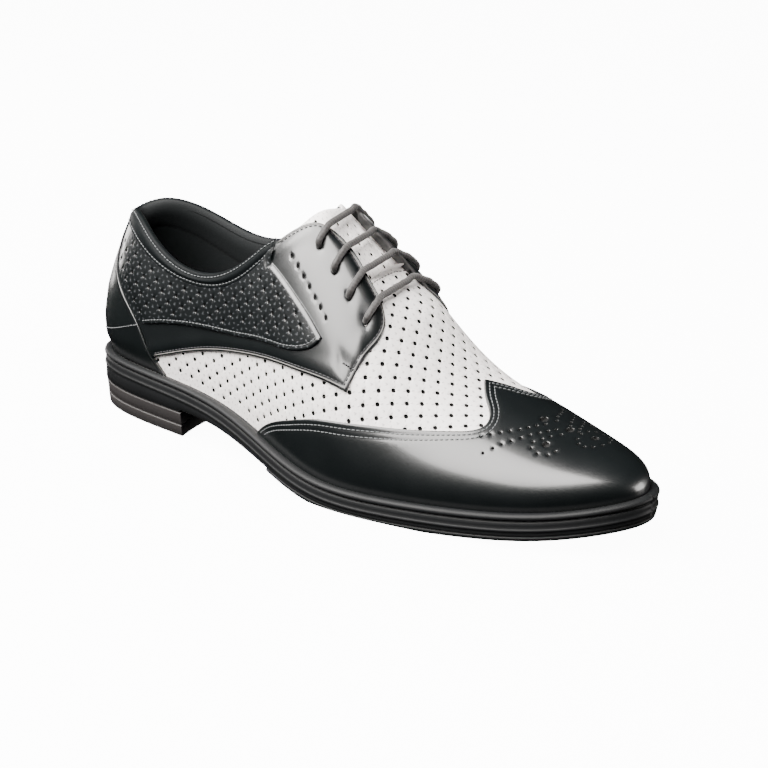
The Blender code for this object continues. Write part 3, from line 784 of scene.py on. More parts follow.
class FlatPattern:
    """The flat shape that a lasted piece was cut from, found by laying a net of the last flat.

    Each small triangle of the net keeps its shape as nearly as the whole allows.
    """

    rounds = 60

    def __init__(self, last: Last, loop: Array, first: float, end: float, rows: int = 36,
                 columns: int = 27) -> None:
        """Flatten the part of the last inside a loop.

        Args:
            last: The last.
            loop: The piece's outline on the chart that goes over the ridge.
            first: The share of the length where the net starts.
            end: The share of the length where it ends.
            rows: Lines of the net across the shoe.
            columns: Lines of the net along the shoe.
        """
        self.last = last
        self.turns = np.linspace(last.turn_of(first), last.turn_of(end), rows)
        self.round = np.linspace(0, 2, columns)
        turn, around = np.meshgrid(self.turns, self.round, indexing="ij")
        side = np.where(around < 1, -1, 1)
        climb = np.where(around < 1, around, 2 - around)
        space = last.surface(turn, climb, side).reshape(-1, 3)
        chart = last.flat(Chart.OVER, last.share_of(turn), climb, side).reshape(-1, 2)
        cells = np.array(grid_faces(rows, columns))
        middles = chart[cells].mean(axis=1)
        ends = np.roll(loop, -1, axis=0)
        near = inside(middles, loop) | (line_distance(middles, loop, ends) < 9 * MM)
        cells = cells[near]
        faces = np.concatenate([cells[:, [0, 1, 2]], cells[:, [0, 2, 3]]])
        used, local = np.unique(faces, return_inverse=True)
        self.faces = local.reshape(faces.shape)
        self.chart = chart[used]
        self.cut = self._relax(space[used], self.chart.copy())
        self.grid = np.full((rows * columns, 2), np.nan)
        self.grid[used] = self.cut
        self.grid = self.grid.reshape(rows, columns, 2)

    def _relax(self, space: Array, flat: Array) -> Array:
        """Move flat points until the triangles are as near their true shapes as they can be."""
        corners = space[self.faces]
        first = corners[:, 1] - corners[:, 0]
        other = corners[:, 2] - corners[:, 0]
        base = np.linalg.norm(first, axis=1)
        along = (first * other).sum(-1) / base
        high = np.sqrt(np.maximum((other**2).sum(-1) - along**2, 1e-18))
        true = np.zeros((len(self.faces), 3, 2))
        true[:, 1, 0], true[:, 2, 0], true[:, 2, 1] = base, along, high
        start = flat[self.faces]
        turned = np.cross(start[:, 1] - start[:, 0], start[:, 2] - start[:, 0])
        true[turned < 0, :, 1] *= -1
        weights = np.zeros((len(self.faces), 3))
        for corner in range(3):
            one = true[:, (corner + 1) % 3] - true[:, corner]
            two = true[:, (corner + 2) % 3] - true[:, corner]
            weights[:, corner] = 0.5 * (one * two).sum(-1) / np.maximum(
                abs(one[:, 0] * two[:, 1] - one[:, 1] * two[:, 0]), 1e-12)
        weights = np.clip(weights, 0.02, 5)
        count = len(flat)
        matrix = np.zeros((count, count))
        for corner in range(3):
            one, two = self.faces[:, (corner + 1) % 3], self.faces[:, (corner + 2) % 3]
            np.add.at(matrix, (one, one), weights[:, corner])
            np.add.at(matrix, (two, two), weights[:, corner])
            np.add.at(matrix, (one, two), -weights[:, corner])
            np.add.at(matrix, (two, one), -weights[:, corner])
        matrix[0] = 0
        matrix[0, 0] = 1
        solver = np.linalg.inv(matrix + 1e-9 * np.eye(count))
        for _ in range(self.rounds):
            spread = np.zeros((len(self.faces), 2, 2))
            for corner in range(3):
                one, two = (corner + 1) % 3, (corner + 2) % 3
                now = flat[self.faces[:, one]] - flat[self.faces[:, two]]
                was = true[:, one] - true[:, two]
                spread += weights[:, corner, None, None] * now[:, :, None] * was[:, None, :]
            left, _, right = np.linalg.svd(spread)
            turn = left @ right
            flip = np.linalg.det(turn) < 0
            left[flip, :, 1] *= -1
            turn = left @ right
            target = np.zeros((count, 2))
            for corner in range(3):
                one, two = (corner + 1) % 3, (corner + 2) % 3
                was = np.einsum("nij,nj->ni", turn, true[:, one] - true[:, two])
                push = weights[:, corner, None] * was
                np.add.at(target, self.faces[:, one], push)
                np.add.at(target, self.faces[:, two], -push)
            target[0] = flat[0]
            flat = solver @ target
        return flat

    def of(self, chart: Array) -> Array:
        """Return the true flat coordinates of points on the chart."""
        turn, climb, side = self.last.place(Chart.OVER, chart)
        around = np.where(side < 0, climb, 2 - climb)
        row = np.clip(np.searchsorted(self.turns, turn) - 1, 0, len(self.turns) - 2)
        column = np.clip(np.searchsorted(self.round, around) - 1, 0, len(self.round) - 2)
        low = np.clip((turn - self.turns[row]) / (self.turns[1] - self.turns[0]), 0, 1)[:, None]
        part = np.clip((around - self.round[column]) / (self.round[1] - self.round[0]), 0, 1)[:, None]
        here = self.grid
        return ((here[row, column] * (1 - part) + here[row, column + 1] * part) * (1 - low)
                + (here[row + 1, column] * (1 - part) + here[row + 1, column + 1] * part) * low)

    def punch(self, spots: Array, radius: float, depth: float) -> list[Hole]:
        """Punch holes that are round on the shoe.

        Args:
            spots: Their centres on the chart.
            radius: Their radius.
            depth: How deep they show.

        Returns:
            The holes.
        """
        at, reach = self.of(spots), np.eye(2) * MM
        turned = np.stack([(self.back(at + step) - self.back(at - step)) / (2 * MM)
                           for step in reach], 1)
        return [Hole(tuple(spot), radius, depth, tuple(map(tuple, stretch)))
                for spot, stretch in zip(spots.tolist(), turned.tolist())]

    def back(self, points: Array) -> Array:
        """Return the places on the chart of true flat points, leaving out those off the piece."""
        corners = self.cut[self.faces]
        one, two = corners[:, 1] - corners[:, 0], corners[:, 2] - corners[:, 0]
        whole = one[:, 0] * two[:, 1] - one[:, 1] * two[:, 0]
        found = []
        for point in points:
            gap = point - corners[:, 0]
            first = (gap[:, 0] * two[:, 1] - gap[:, 1] * two[:, 0]) / whole
            other = (one[:, 0] * gap[:, 1] - one[:, 1] * gap[:, 0]) / whole
            within = np.nonzero((first >= 0) & (other >= 0) & (first + other <= 1))[0]
            if len(within):
                face = within[0]
                shares = np.array([1 - first[face] - other[face], first[face], other[face]])
                found.append(shares @ self.chart[self.faces[face]])
        return np.array(found).reshape(-1, 2)


# ---------------------------------------------------------------- finishes


class Signal:
    """A value on its way through a material, with the operators that add its Math nodes."""

    def __init__(self, recipe: "Recipe", socket: bpy.types.NodeSocket) -> None:
        """Hold a socket of a recipe's node tree."""
        self.recipe, self.socket = recipe, socket

    def _math(self, operation: str, *inputs: "Signal | float") -> "Signal":
        """Add one Math node."""
        return self.recipe.node("ShaderNodeMath", {"operation": operation}, dict(enumerate(inputs)))

    def __add__(self, other: "Signal | float") -> "Signal":
        """Add."""
        return self._math("ADD", self, other)

    def __sub__(self, other: "Signal | float") -> "Signal":
        """Subtract."""
        return self._math("SUBTRACT", self, other)

    def __mul__(self, other: "Signal | float") -> "Signal":
        """Multiply."""
        return self._math("MULTIPLY", self, other)

    def __truediv__(self, other: "Signal | float") -> "Signal":
        """Divide."""
        return self._math("DIVIDE", self, other)

    def __pow__(self, other: "Signal | float") -> "Signal":
        """Raise to a power."""
        return self._math("POWER", self, other)

    def __radd__(self, other: float) -> "Signal":
        """Add to a number."""
        return self._math("ADD", other, self)

    def __rsub__(self, other: float) -> "Signal":
        """Subtract from a number."""
        return self._math("SUBTRACT", other, self)

    def __rmul__(self, other: float) -> "Signal":
        """Multiply a number."""
        return self._math("MULTIPLY", other, self)

    def rounded(self) -> "Signal":
        """Round to the nearest whole number."""
        return self._math("ROUND", self)

    def at_least(self, low: float) -> "Signal":
        """Keep from going under a number."""
        return self._math("MAXIMUM", self, low)

    def at_most(self, high: float) -> "Signal":
        """Keep from going over a number."""
        return self._math("MINIMUM", self, high)

    def sine(self) -> "Signal":
        """Take the sine."""
        return self._math("SINE", self)


Colour = tuple[float, float, float]


class Recipe:
    """One material while it is being made."""

    def __init__(self, name: str, **constants: float) -> None:
        """Start a material.

        Args:
            name: The material's name.
            constants: Values of the shader's own sockets, by name with _ for a space.
        """
        self.material = bpy.data.materials.new(name)
        self.material.use_nodes = True
        self.tree = self.material.node_tree
        self.shader = self.tree.nodes["Principled BSDF"]
        for key, value in constants.items():
            self.shader.inputs[key.replace("_", " ")].default_value = value

    def node(self, kind: str, settings: dict, inputs: dict, output: int | str = 0) -> Signal:
        """Add a node.

        Args:
            kind: Blender's name for the node.
            settings: Its own settings; stops are the stops of a ramp.
            inputs: Values or signals of its sockets.
            output: Which of its outputs is wanted.

        Returns:
            That output.
        """
        made = self.tree.nodes.new(kind)
        for key, value in settings.items():
            if key == "stops":
                ramp = made.color_ramp.elements
                while len(ramp) < len(value):
                    ramp.new(1.0)
                for stop, (place, grey) in zip(ramp, value):
                    stop.position = place
                    stop.color = (grey, grey, grey, 1.0)
            else:
                setattr(made, key, value)
        for key, value in inputs.items():
            if isinstance(value, Signal):
                self.tree.links.new(value.socket, made.inputs[key])
            else:
                made.inputs[key].default_value = value
        return Signal(self, made.outputs[output])

    def blend(self, factor: Signal, low: Colour | Signal, high: Colour | Signal) -> Signal:
        """Mix two colours by a factor."""
        colours = [(*colour, 1.0) if isinstance(colour, tuple) else colour for colour in (low, high)]
        inputs = {0: factor, 6: colours[0], 7: colours[1]}
        return self.node("ShaderNodeMix", {"data_type": "RGBA"}, inputs, 2)

    def noise(self, place: Signal, scale: float, detail: float = 2.0, rough: float = 0.5) -> Signal:
        """Add a noise that runs from 0 to 1; scale is in cells to a metre."""
        return self.node("ShaderNodeTexNoise", {}, {"Vector": place, "Scale": scale, "Detail": detail,
                                                    "Roughness": rough})

    def cells(self, place: Signal, scale: float) -> Signal:
        """Add the distance to the nearest point of a cell pattern."""
        return self.node("ShaderNodeTexVoronoi", {"feature": "F1"}, {"Vector": place, "Scale": scale})

    def object_place(self) -> Signal:
        """Return the place on the object in metres."""
        return self.node("ShaderNodeTexCoord", {}, {}, "Object")

    def cut_place(self) -> tuple[Signal, Signal]:
        """Return the two pattern coordinates of the cut."""
        place = self.node("ShaderNodeUVMap", {"uv_map": "Cut"}, {})
        return (self.node("ShaderNodeSeparateXYZ", {}, {0: place}, 0),
                self.node("ShaderNodeSeparateXYZ", {}, {0: place}, 1))

    def finish(self, colour: Signal | Colour, roughness: Signal | float, height: Signal | None,
               depth: float = 0.1 * MM) -> bpy.types.Material:
        """Feed the shader and return the material.

        Args:
            colour: The base colour.
            roughness: The roughness.
            height: A height for the bump, from 0 to 1.
            depth: What a height of 1 stands for, in metres.

        Returns:
            The material.
        """
        for socket, value in (("Base Color", colour), ("Roughness", roughness)):
            if isinstance(value, Signal):
                self.tree.links.new(value.socket, self.shader.inputs[socket])
            else:
                given = (*value, 1.0) if isinstance(value, tuple) else value
                self.shader.inputs[socket].default_value = given
        if height is not None:
            inputs = {"Strength": 1.0, "Distance": depth, "Height": height}
            bump = self.node("ShaderNodeBump", {}, inputs)
            self.tree.links.new(bump.socket, self.shader.inputs["Normal"])
        return self.material


def embossed_marks(x: Signal, y: Signal) -> Signal:
    """Draw the small leaf marks pressed in around each hole of the pattern.

    Args:
        x: One pattern coordinate, with a hole at each whole number.
        y: The other one.

    Returns:
        A height from 0 to 1.
    """
    total = None
    for centre_x, centre_y, slant in ((0.30, 0.03, 0.25), (-0.30, -0.03, 0.25), (0.03, 0.30, 1.35),
                                      (-0.03, -0.30, 1.35), (0.5, 0.46, 0.6), (0.46, 0.54, 2.4)):
        across, up = x - centre_x, y - centre_y
        across, up = across - across.rounded(), up - up.rounded()
        cos, sin = math.cos(slant), math.sin(slant)
        along = (across * cos + up * sin) / 0.12
        over = (up * cos - across * sin) / 0.062
        leaf = (1 - along * along - over * over).at_least(0.0)
        total = leaf if total is None else total + leaf
    return total.at_most(1.0) ** 0.7


@dataclass(frozen=True)
class PolishedLeather:
    """Black box leather with a high polish."""

    name: str
    colour: Colour = (0.0018, 0.0027, 0.0030)
    roughness: float = 0.25
    coat: float = 0.6
    specular: float = 0.75
    embossed: bool = False

    def make(self) -> bpy.types.Material:
        """Return the material."""
        recipe = Recipe(self.name, Coat_Weight=self.coat, Coat_Roughness=0.16,
                        Specular_IOR_Level=self.specular)
        place = recipe.object_place()
        broad = recipe.noise(place, 45.0, 3.0)
        pores = recipe.cells(place, 1500.0)
        fine = recipe.noise(place, 3200.0, 2.0, 0.6)
        grain = pores * 0.25 + fine * 0.35
        colour = recipe.blend(broad, self.colour, tuple(1.7 * part for part in self.colour))
        rough = self.roughness + 0.10 * broad + 0.08 * fine
        if not self.embossed:
            return recipe.finish(colour, rough, grain, 0.022 * MM)
        x, y = recipe.cut_place()
        marks = embossed_marks(x, y)
        marks = marks * (0.45 + 0.9 * recipe.noise(place, 420.0, 2.0))
        # Painted highlight: the raised leaf marks are painted a lighter grey for the light they catch;
        # their relief comes from the bump below.
        colour = recipe.blend(marks.at_most(1.0), colour, (0.050, 0.055, 0.060))
        return recipe.finish(colour, rough, marks * 3.0 + grain * 0.6, 0.028 * MM)


@dataclass(frozen=True)
class WhiteLeather:
    """White leather with faint pressed marks between its holes, and shade painted into the marks."""

    name: str = "white_leather"
    colour: Colour = (0.88, 0.845, 0.825)
    shade_and_tone: Colour = (0.48, 0.45, 0.45)

    def make(self) -> bpy.types.Material:
        """Return the material."""
        recipe = Recipe(self.name, Coat_Weight=0.08, Coat_Roughness=0.3)
        place = recipe.object_place()
        x, y = recipe.cut_place()
        marks = embossed_marks(x, y)
        patchy = recipe.noise(place, 260.0, 3.0)
        fine = recipe.noise(place, 2400.0, 2.0)
        # Painted shade: the pressed marks are painted greyer for the shade in them, stronger in some
        # patches than others; a faint random greying over the whole leather is its own tone.
        factor = (marks * (0.3 + 0.9 * patchy) + 0.15 * recipe.noise(place, 60.0, 2.0)).at_most(1.0)
        colour = recipe.blend(factor, self.colour, self.shade_and_tone)
        height = marks * 1.3 + fine * 0.4 + recipe.cells(place, 1300.0) * 0.3
        return recipe.finish(colour, 0.42 + 0.12 * patchy, height, 0.05 * MM)


@dataclass(frozen=True)
class Plain:
    """A plain finish with a fine grain: rubber, lining, thread, the pale edge line or board."""

    name: str
    colour: Colour
    roughness: float
    cell: float = 900.0
    depth: float = 0.03 * MM
    spread: float = 1.5
    coat: float = 0.0
    specular: float = 0.5

    def make(self) -> bpy.types.Material:
        """Return the material."""
        recipe = Recipe(self.name, Coat_Weight=self.coat, Coat_Roughness=0.25,
                        Specular_IOR_Level=self.specular)
        place = recipe.object_place()
        broad = recipe.noise(place, 70.0, 3.0)
        fine = recipe.noise(place, self.cell, 3.0, 0.6)
        colour = recipe.blend(0.5 * broad + 0.5 * fine, self.colour,
                              tuple(self.spread * part for part in self.colour))
        return recipe.finish(colour, self.roughness + 0.12 * broad, fine, self.depth)


@dataclass(frozen=True)
class WaxedCord:
    """Round waxed lace: fine braided threads under a dull shine."""

    name: str = "lace_cord"
    colour: Colour = (0.012, 0.011, 0.011)

    def make(self) -> bpy.types.Material:
        """Return the material."""
        recipe = Recipe(self.name, Sheen_Weight=0.25)
        x, y = recipe.cut_place()
        strands = ((x * 2.0 + y).sine() * (x * 2.0 - y).sine() + 1.0) * 0.5
        place = recipe.object_place()
        fuzz = recipe.noise(place, 2600.0, 2.0)
        colour = recipe.blend(strands * 0.7 + fuzz * 0.3, self.colour, (0.045, 0.041, 0.039))
        return recipe.finish(colour, 0.5 + 0.2 * fuzz, strands + fuzz * 0.4, 0.12 * MM)


# ---------------------------------------------------------------- the shoe


@dataclass
class Workshop:
    """The last and the finishes that every sub-assembly is made with."""

    last: Last
    black: bpy.types.Material
    embossed: bpy.types.Material
    white: bpy.types.Material
    soft: bpy.types.Material
    lining: bpy.types.Material
    pale_edge: bpy.types.Material
    rubber: bpy.types.Material
    lift_rubber: bpy.types.Material
    thread: bpy.types.Material
    dark_thread: bpy.types.Material
    cord: bpy.types.Material
    board: bpy.types.Material
    pit: bpy.types.Material

    @classmethod
    def furnish(cls, last: Last) -> "Workshop":
        """Make every finish.

        Args:
            last: The last.

        Returns:
            The workshop.
        """
        return cls(
            last=last,
            black=PolishedLeather("black_leather").make(),
            embossed=PolishedLeather("embossed_leather", roughness=0.25, embossed=True).make(),
            white=WhiteLeather().make(),
            soft=PolishedLeather("soft_leather", roughness=0.50, coat=0.0, specular=0.10).make(),
            lining=Plain("lining", (0.004, 0.005, 0.0055), 0.7, 1400.0, 0.05 * MM, specular=0.25).make(),
            pale_edge=Plain("pale_edge", (0.15, 0.145, 0.14), 0.5).make(),
            rubber=Plain("rubber", (0.006, 0.0065, 0.007), 0.46, 700.0, 0.04 * MM, specular=0.2).make(),
            lift_rubber=Plain("lift_rubber", (0.026, 0.024, 0.024), 0.46, 700.0, 0.04 * MM).make(),
            # Painted highlight, partly: the black waxed thread is lifted to dark grey for the glints it
            # catches.
            thread=Plain("thread", (0.085, 0.09, 0.093), 0.55, 3000.0, 0.05 * MM).make(),
            dark_thread=Plain("dark_thread", (0.020, 0.020, 0.022), 0.5, 3000.0, 0.05 * MM).make(),
            cord=WaxedCord().make(),
            board=Plain("footbed", (0.012, 0.012, 0.013), 0.6, 1200.0, 0.04 * MM).make(),
            # Painted shade: near black for the walls and floors of the punched holes, over the dark
            # layer beneath.
            pit=Plain("pit", (0.004, 0.004, 0.004), 0.9).make(),
        )

    def settle(self, piece: bpy.types.Object, slot: str, *nodes: str) -> bpy.types.Object:
        """Put a piece on the shoe's body, hide the solids it stands for and log them."""
        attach(piece, "root")
        if nodes:
            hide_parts(*nodes)
        log.info("%s: %d faces%s", piece.name, len(piece.data.polygons),
                 f", in place of {', '.join(nodes)}" if nodes else "")
        return piece

    def sew(self, name: str, rows: Sequence[tuple[Array, Array]], finish: bpy.types.Material,
            stitches: Stitches | None = None) -> bpy.types.Object:
        """Sew rows of stitches and settle them as one piece.

        Args:
            name: The piece's name.
            rows: The path and the outward directions of each row.
            finish: The thread.
            stitches: What the stitches are like.

        Returns:
            The piece.
        """
        stitches = stitches or Stitches()
        points, faces = joined([stitches.along(path, out) for path, out in rows])
        return self.settle(add_mesh(name, points, faces, [finish]), "lace_cord")


def laid(last: Last, chart: Chart, points: Sequence[tuple[float, float]], side: Side,
         count: int = 60) -> Array:
    """Lay a line given by shares and climbs out flat, smoothed through its points.

    Args:
        last: The last.
        chart: How it is laid.
        points: Shares of the length and climbs.
        side: Which side of the shoe.
        count: How many points are wanted.

    Returns:
        The flat line.
    """
    shares, climbs = np.array(points, float).T
    corners = last.flat(chart, shares, climbs, side.value)
    return smooth_line(corners, count) if len(corners) > 2 else corners


def foot_line(last: Last, chart: Chart, first: float, end: float, side: Side, count: int = 160) -> Array:
    """Lay a stretch of the feather line out flat."""
    turns = np.linspace(last.turn_of(first), last.turn_of(end), count)
    return last.flat(chart, last.share_of(turns), 0 * turns, side.value)


COUNTER_EDGE = ((0.185, 0.0), (0.159, 0.095), (0.137, 0.19), (0.098, 0.29), (0.078, 0.336),
                (0.043, 0.436), (0.018, 0.60), (0.013, 0.74))
QUARTER_FOOT = ((0.165, 0.077), (0.228, 0.136), (0.277, 0.173), (0.350, 0.218), (0.435, 0.273),
                (0.509, 0.322), (0.595, 0.395))
FACING_FRONT = ((0.595, 0.395), (0.600, 0.477), (0.608, 0.605), (0.612, 0.690), (0.607, 0.745))
PANEL_FOOT = ((0.137, 0.205), (0.199, 0.236), (0.254, 0.250), (0.354, 0.277), (0.417, 0.314),
              (0.469, 0.345), (0.504, 0.382), (0.531, 0.441), (0.539, 0.477))
PANEL_FLAP = ((0.539, 0.477), (0.509, 0.500), (0.474, 0.518), (0.443, 0.535), (0.409, 0.552))
WING_EDGE = ((0.413, 0.0), (0.430, 0.045), (0.487, 0.136), (0.522, 0.182), (0.595, 0.277),
             (0.655, 0.382), (0.707, 0.495), (0.750, 0.600), (0.772, 0.673), (0.779, 0.741),
             (0.773, 0.814), (0.751, 0.900), (0.7255, 1.0))
EYELETS = ((0.483, 0.714), (0.520, 0.691), (0.554, 0.672), (0.587, 0.668))
COLLAR_FRONT = 0.405
DIP_DEPTH = 5.2 * MM
DIP_STARTS, DIP_ENDS = (0.455, 0.505), (0.575, 0.635)
DIP_EDGE = (0.71, 0.94)


def lattice(reach: int, steps: Array, origin: Array | float = 0.0) -> Array:
    """Return the points of a lattice up to a number of steps from its origin."""
    places = np.arange(-reach, reach + 1)
    net = np.stack(np.meshgrid(places, places, indexing="ij"), -1).reshape(-1, 2)
    return net @ steps + origin


def dip_at(share: Array, climb: Array) -> Array:
    """Return how far the leather between the facings lies flatter than the last."""
    along = smooth_step(*DIP_STARTS, share) * (1 - smooth_step(*DIP_ENDS, share))
    return DIP_DEPTH * along * smooth_step(*DIP_EDGE, climb)


def throat_dip(last: Last, flat: Array) -> Array:
    """Return the dip of the throat at flat points."""
    turn, climb, _ = last.place(Chart.OVER, flat)
    return dip_at(last.share_of(turn), climb)


@dataclass
class Vamp:
    """The white perforated leather over the forefoot, with a wing down each side."""

    back: float = 0.10
    front: float = 0.80
    back_climb: float = 0.10
    tuck: float = 0.06
    over: float = -1.5 * MM
    under: float = -3.3 * MM
    throat: Pairs = ((0.562, 0.62), (0.566, 0.82), (0.570, 0.92), (0.571, 0.97), (0.571, 1.0))
    steps: Pairs = ((4.08, 5.06), (-3.75, 4.55))
    origin: tuple[float, float] = (174.19, -12.60)
    hole_radius: float = 1.02 * MM
    hole_depth: float = 1.1 * MM
    hole_margin: float = 2.2 * MM
    past_edge: float = 0.004
    past_quarter: float = 0.006
    throat_from: float = 0.80

    def loop(self, last: Last) -> list[tuple[Array, Edge]]:
        """Return the outline, side by side."""
        arcs = []
        for side in (Side.OUTER, Side.INNER):
            margin = [(share, climb + self.tuck) for share, climb in QUARTER_FOOT[:-1]]
            knots = [(self.back, self.back_climb), *margin, (0.575, 0.47), self.throat[0]]
            upper = laid(last, Chart.OVER, knots, side)
            foot = foot_line(last, Chart.OVER, self.front, self.back, side)
            rise = last.flat(Chart.OVER, np.array([self.back, self.back]),
                             np.array([0.0, self.back_climb]), side.value)
            arcs.append([(foot, Edge.FOOT), (rise, Edge.HIDDEN), (upper, Edge.HIDDEN),
                         (laid(last, Chart.OVER, self.throat, side), Edge.CUT)])
        other = [(line[::-1], kind) for line, kind in arcs[1][::-1]]
        toe = np.array([other[-1][0][-1], arcs[0][0][0][0]])
        return arcs[0] + other + [(toe, Edge.HIDDEN)]

    def holes(self, last: Last, pattern: FlatPattern, loop: Array) -> list[Hole]:
        """Punch the whole lattice and keep the holes that fall on the leather that shows."""
        spots = pattern.back(lattice(60, np.array(self.steps), np.array(self.origin)) * MM)
        spots = spots[inside(spots, loop)]
        spots = spots[line_distance(spots, loop, np.roll(loop, -1, axis=0)) > self.hole_margin]
        turn, climb, _ = last.place(Chart.OVER, spots)
        share = last.share_of(turn)
        wing = np.array(WING_EDGE)
        quarter = np.array(QUARTER_FOOT)
        ahead = np.interp(climb, wing[:, 1], wing[:, 0])
        cover = np.interp(share, quarter[:, 0], quarter[:, 1])
        facing = np.array(FACING_FRONT)
        front = np.interp(climb, facing[:, 1], facing[:, 0])
        shows = (share < ahead + self.past_edge) & (
            (share > front - self.past_edge) | (climb < cover + self.past_quarter)
            | (climb > self.throat_from))
        counter = np.array(COUNTER_EDGE)
        shows &= share > np.interp(climb, counter[:, 1], counter[:, 0]) - self.past_edge
        return pattern.punch(spots[shows], self.hole_radius, self.hole_depth)

    def build(self, shop: Workshop) -> None:
        """Cut, punch and last the leather.

        Args:
            shop: The last and the finishes.
        """
        last = shop.last
        arcs = self.loop(last)
        cut = Cut(last, Chart.OVER, arcs, over=self.over, under=self.under, seams=(1.6 * MM,))
        pattern = FlatPattern(last, cut.loop, 0.06, 0.86)
        cut.holes = self.holes(last, pattern, cut.loop)
        cut.relief = lambda flat, gap: -throat_dip(last, flat)
        undo = np.linalg.inv(np.array(self.steps))
        cut.pattern = lambda flat: (pattern.of(flat) / MM - np.array(self.origin)) @ undo
        piece = cut.build("vamp", [shop.white, shop.pit])
        shop.settle(piece, "white_leather", "upper")
        shop.sew("vamp_stitches", cut.stitch_rows(), shop.pale_edge)


@dataclass
class Lining:
    """The smooth lining inside the upper."""

    offset: float = -3.25 * MM
    rows: int = 150
    columns: int = 30
    throat: tuple[float, float] = (0.43, 0.61)
    throat_climb: float = 0.64

    def build(self, shop: Workshop) -> None:
        """Line the upper.

        Args:
            shop: The last and the finishes.
        """
        last = shop.last
        turn = np.linspace(0, 0.995, self.rows)
        share = last.share_of(turn)
        parts = []
        for side in Side:
            top = last.opening_climb(share, side) - 0.01
            low = smooth_step(self.throat[0] - 0.03, self.throat[0], share) * (share < self.throat[1])
            top = np.where(low > 0, top + (np.minimum(self.throat_climb, top) - top) * low, top)
            top = np.where(share > self.throat[1], 1.0, top)
            climb = np.linspace(0, 1, self.columns)[None, :] * top[:, None]
            net = last.skin(turn[:, None], climb, side.value, np.full(climb.shape, self.offset))
            net[:, 0, 2] -= 1.5 * MM
            loops = grid_faces(self.rows, self.columns)
            if side is Side.INNER:
                loops = [loop[::-1] for loop in loops]
            parts.append((net.reshape(-1, 3), loops))
        shop.settle(add_mesh("lining", *joined(parts), [shop.lining]), "black_leather")


@dataclass
class Tongue:
    """The white tongue inside the throat."""

    tip: Pairs = (
        (0.4715, 1.0), (0.468, 0.95), (0.457, 0.87), (0.4436, 0.79), (0.426, 0.705), (0.414, 0.655),
        (0.418, 0.610))
    reach: float = 0.40
    foot: float = 0.68
    over: float = -3.6 * MM
    under: float = -5.6 * MM
    steps: Pairs = ((6.4, 3.2), (-3.2, 6.4))
    origin: tuple[float, float] = (0.5159, 0.8622)

    def build(self, shop: Workshop) -> None:
        """Cut, punch and fit the tongue.

        Args:
            shop: The last and the finishes.
        """
        last = shop.last
        arcs = []
        for side in Side:
            tip = laid(last, Chart.OVER, self.tip, side)
            low = 1 - self.reach
            knots = [(self.tip[-1][0], low + 0.01), (0.52, low), (self.foot, low)]
            edge = laid(last, Chart.OVER, knots, side)
            edge[0] = tip[-1]
            arcs.append([(tip, Edge.CUT), (edge, Edge.CUT)])
        end = np.array([arcs[0][1][0][-1], arcs[1][1][0][-1]])
        other = [(line[::-1], kind) for line, kind in arcs[1][::-1]]
        cut = Cut(last, Chart.OVER, arcs[0] + [(end, Edge.HIDDEN)] + other, self.over, self.under,
                  seams=(), edge_round=0.7 * MM)
        cut.relief = lambda flat, gap: -throat_dip(last, flat)
        net = lattice(20, np.array(self.steps)) * MM
        net += last.flat(Chart.OVER, np.array(self.origin[0]), np.array(self.origin[1]), -1)
        net = net[inside(net, cut.loop)]
        turn, climb, _ = last.place(Chart.OVER, net)
        free = (cut.edge_distance(net) > 3.0 * MM) & (last.share_of(turn) < 0.60) & (climb > 0.68)
        cut.holes = [Hole((float(x), float(y)), 0.9 * MM) for x, y in net[free]]
        cut.pattern = lambda flat: flat / (6.2 * MM)
        shop.settle(cut.build("tongue_leather", [shop.white, shop.pit]), "white_leather", "tongue")


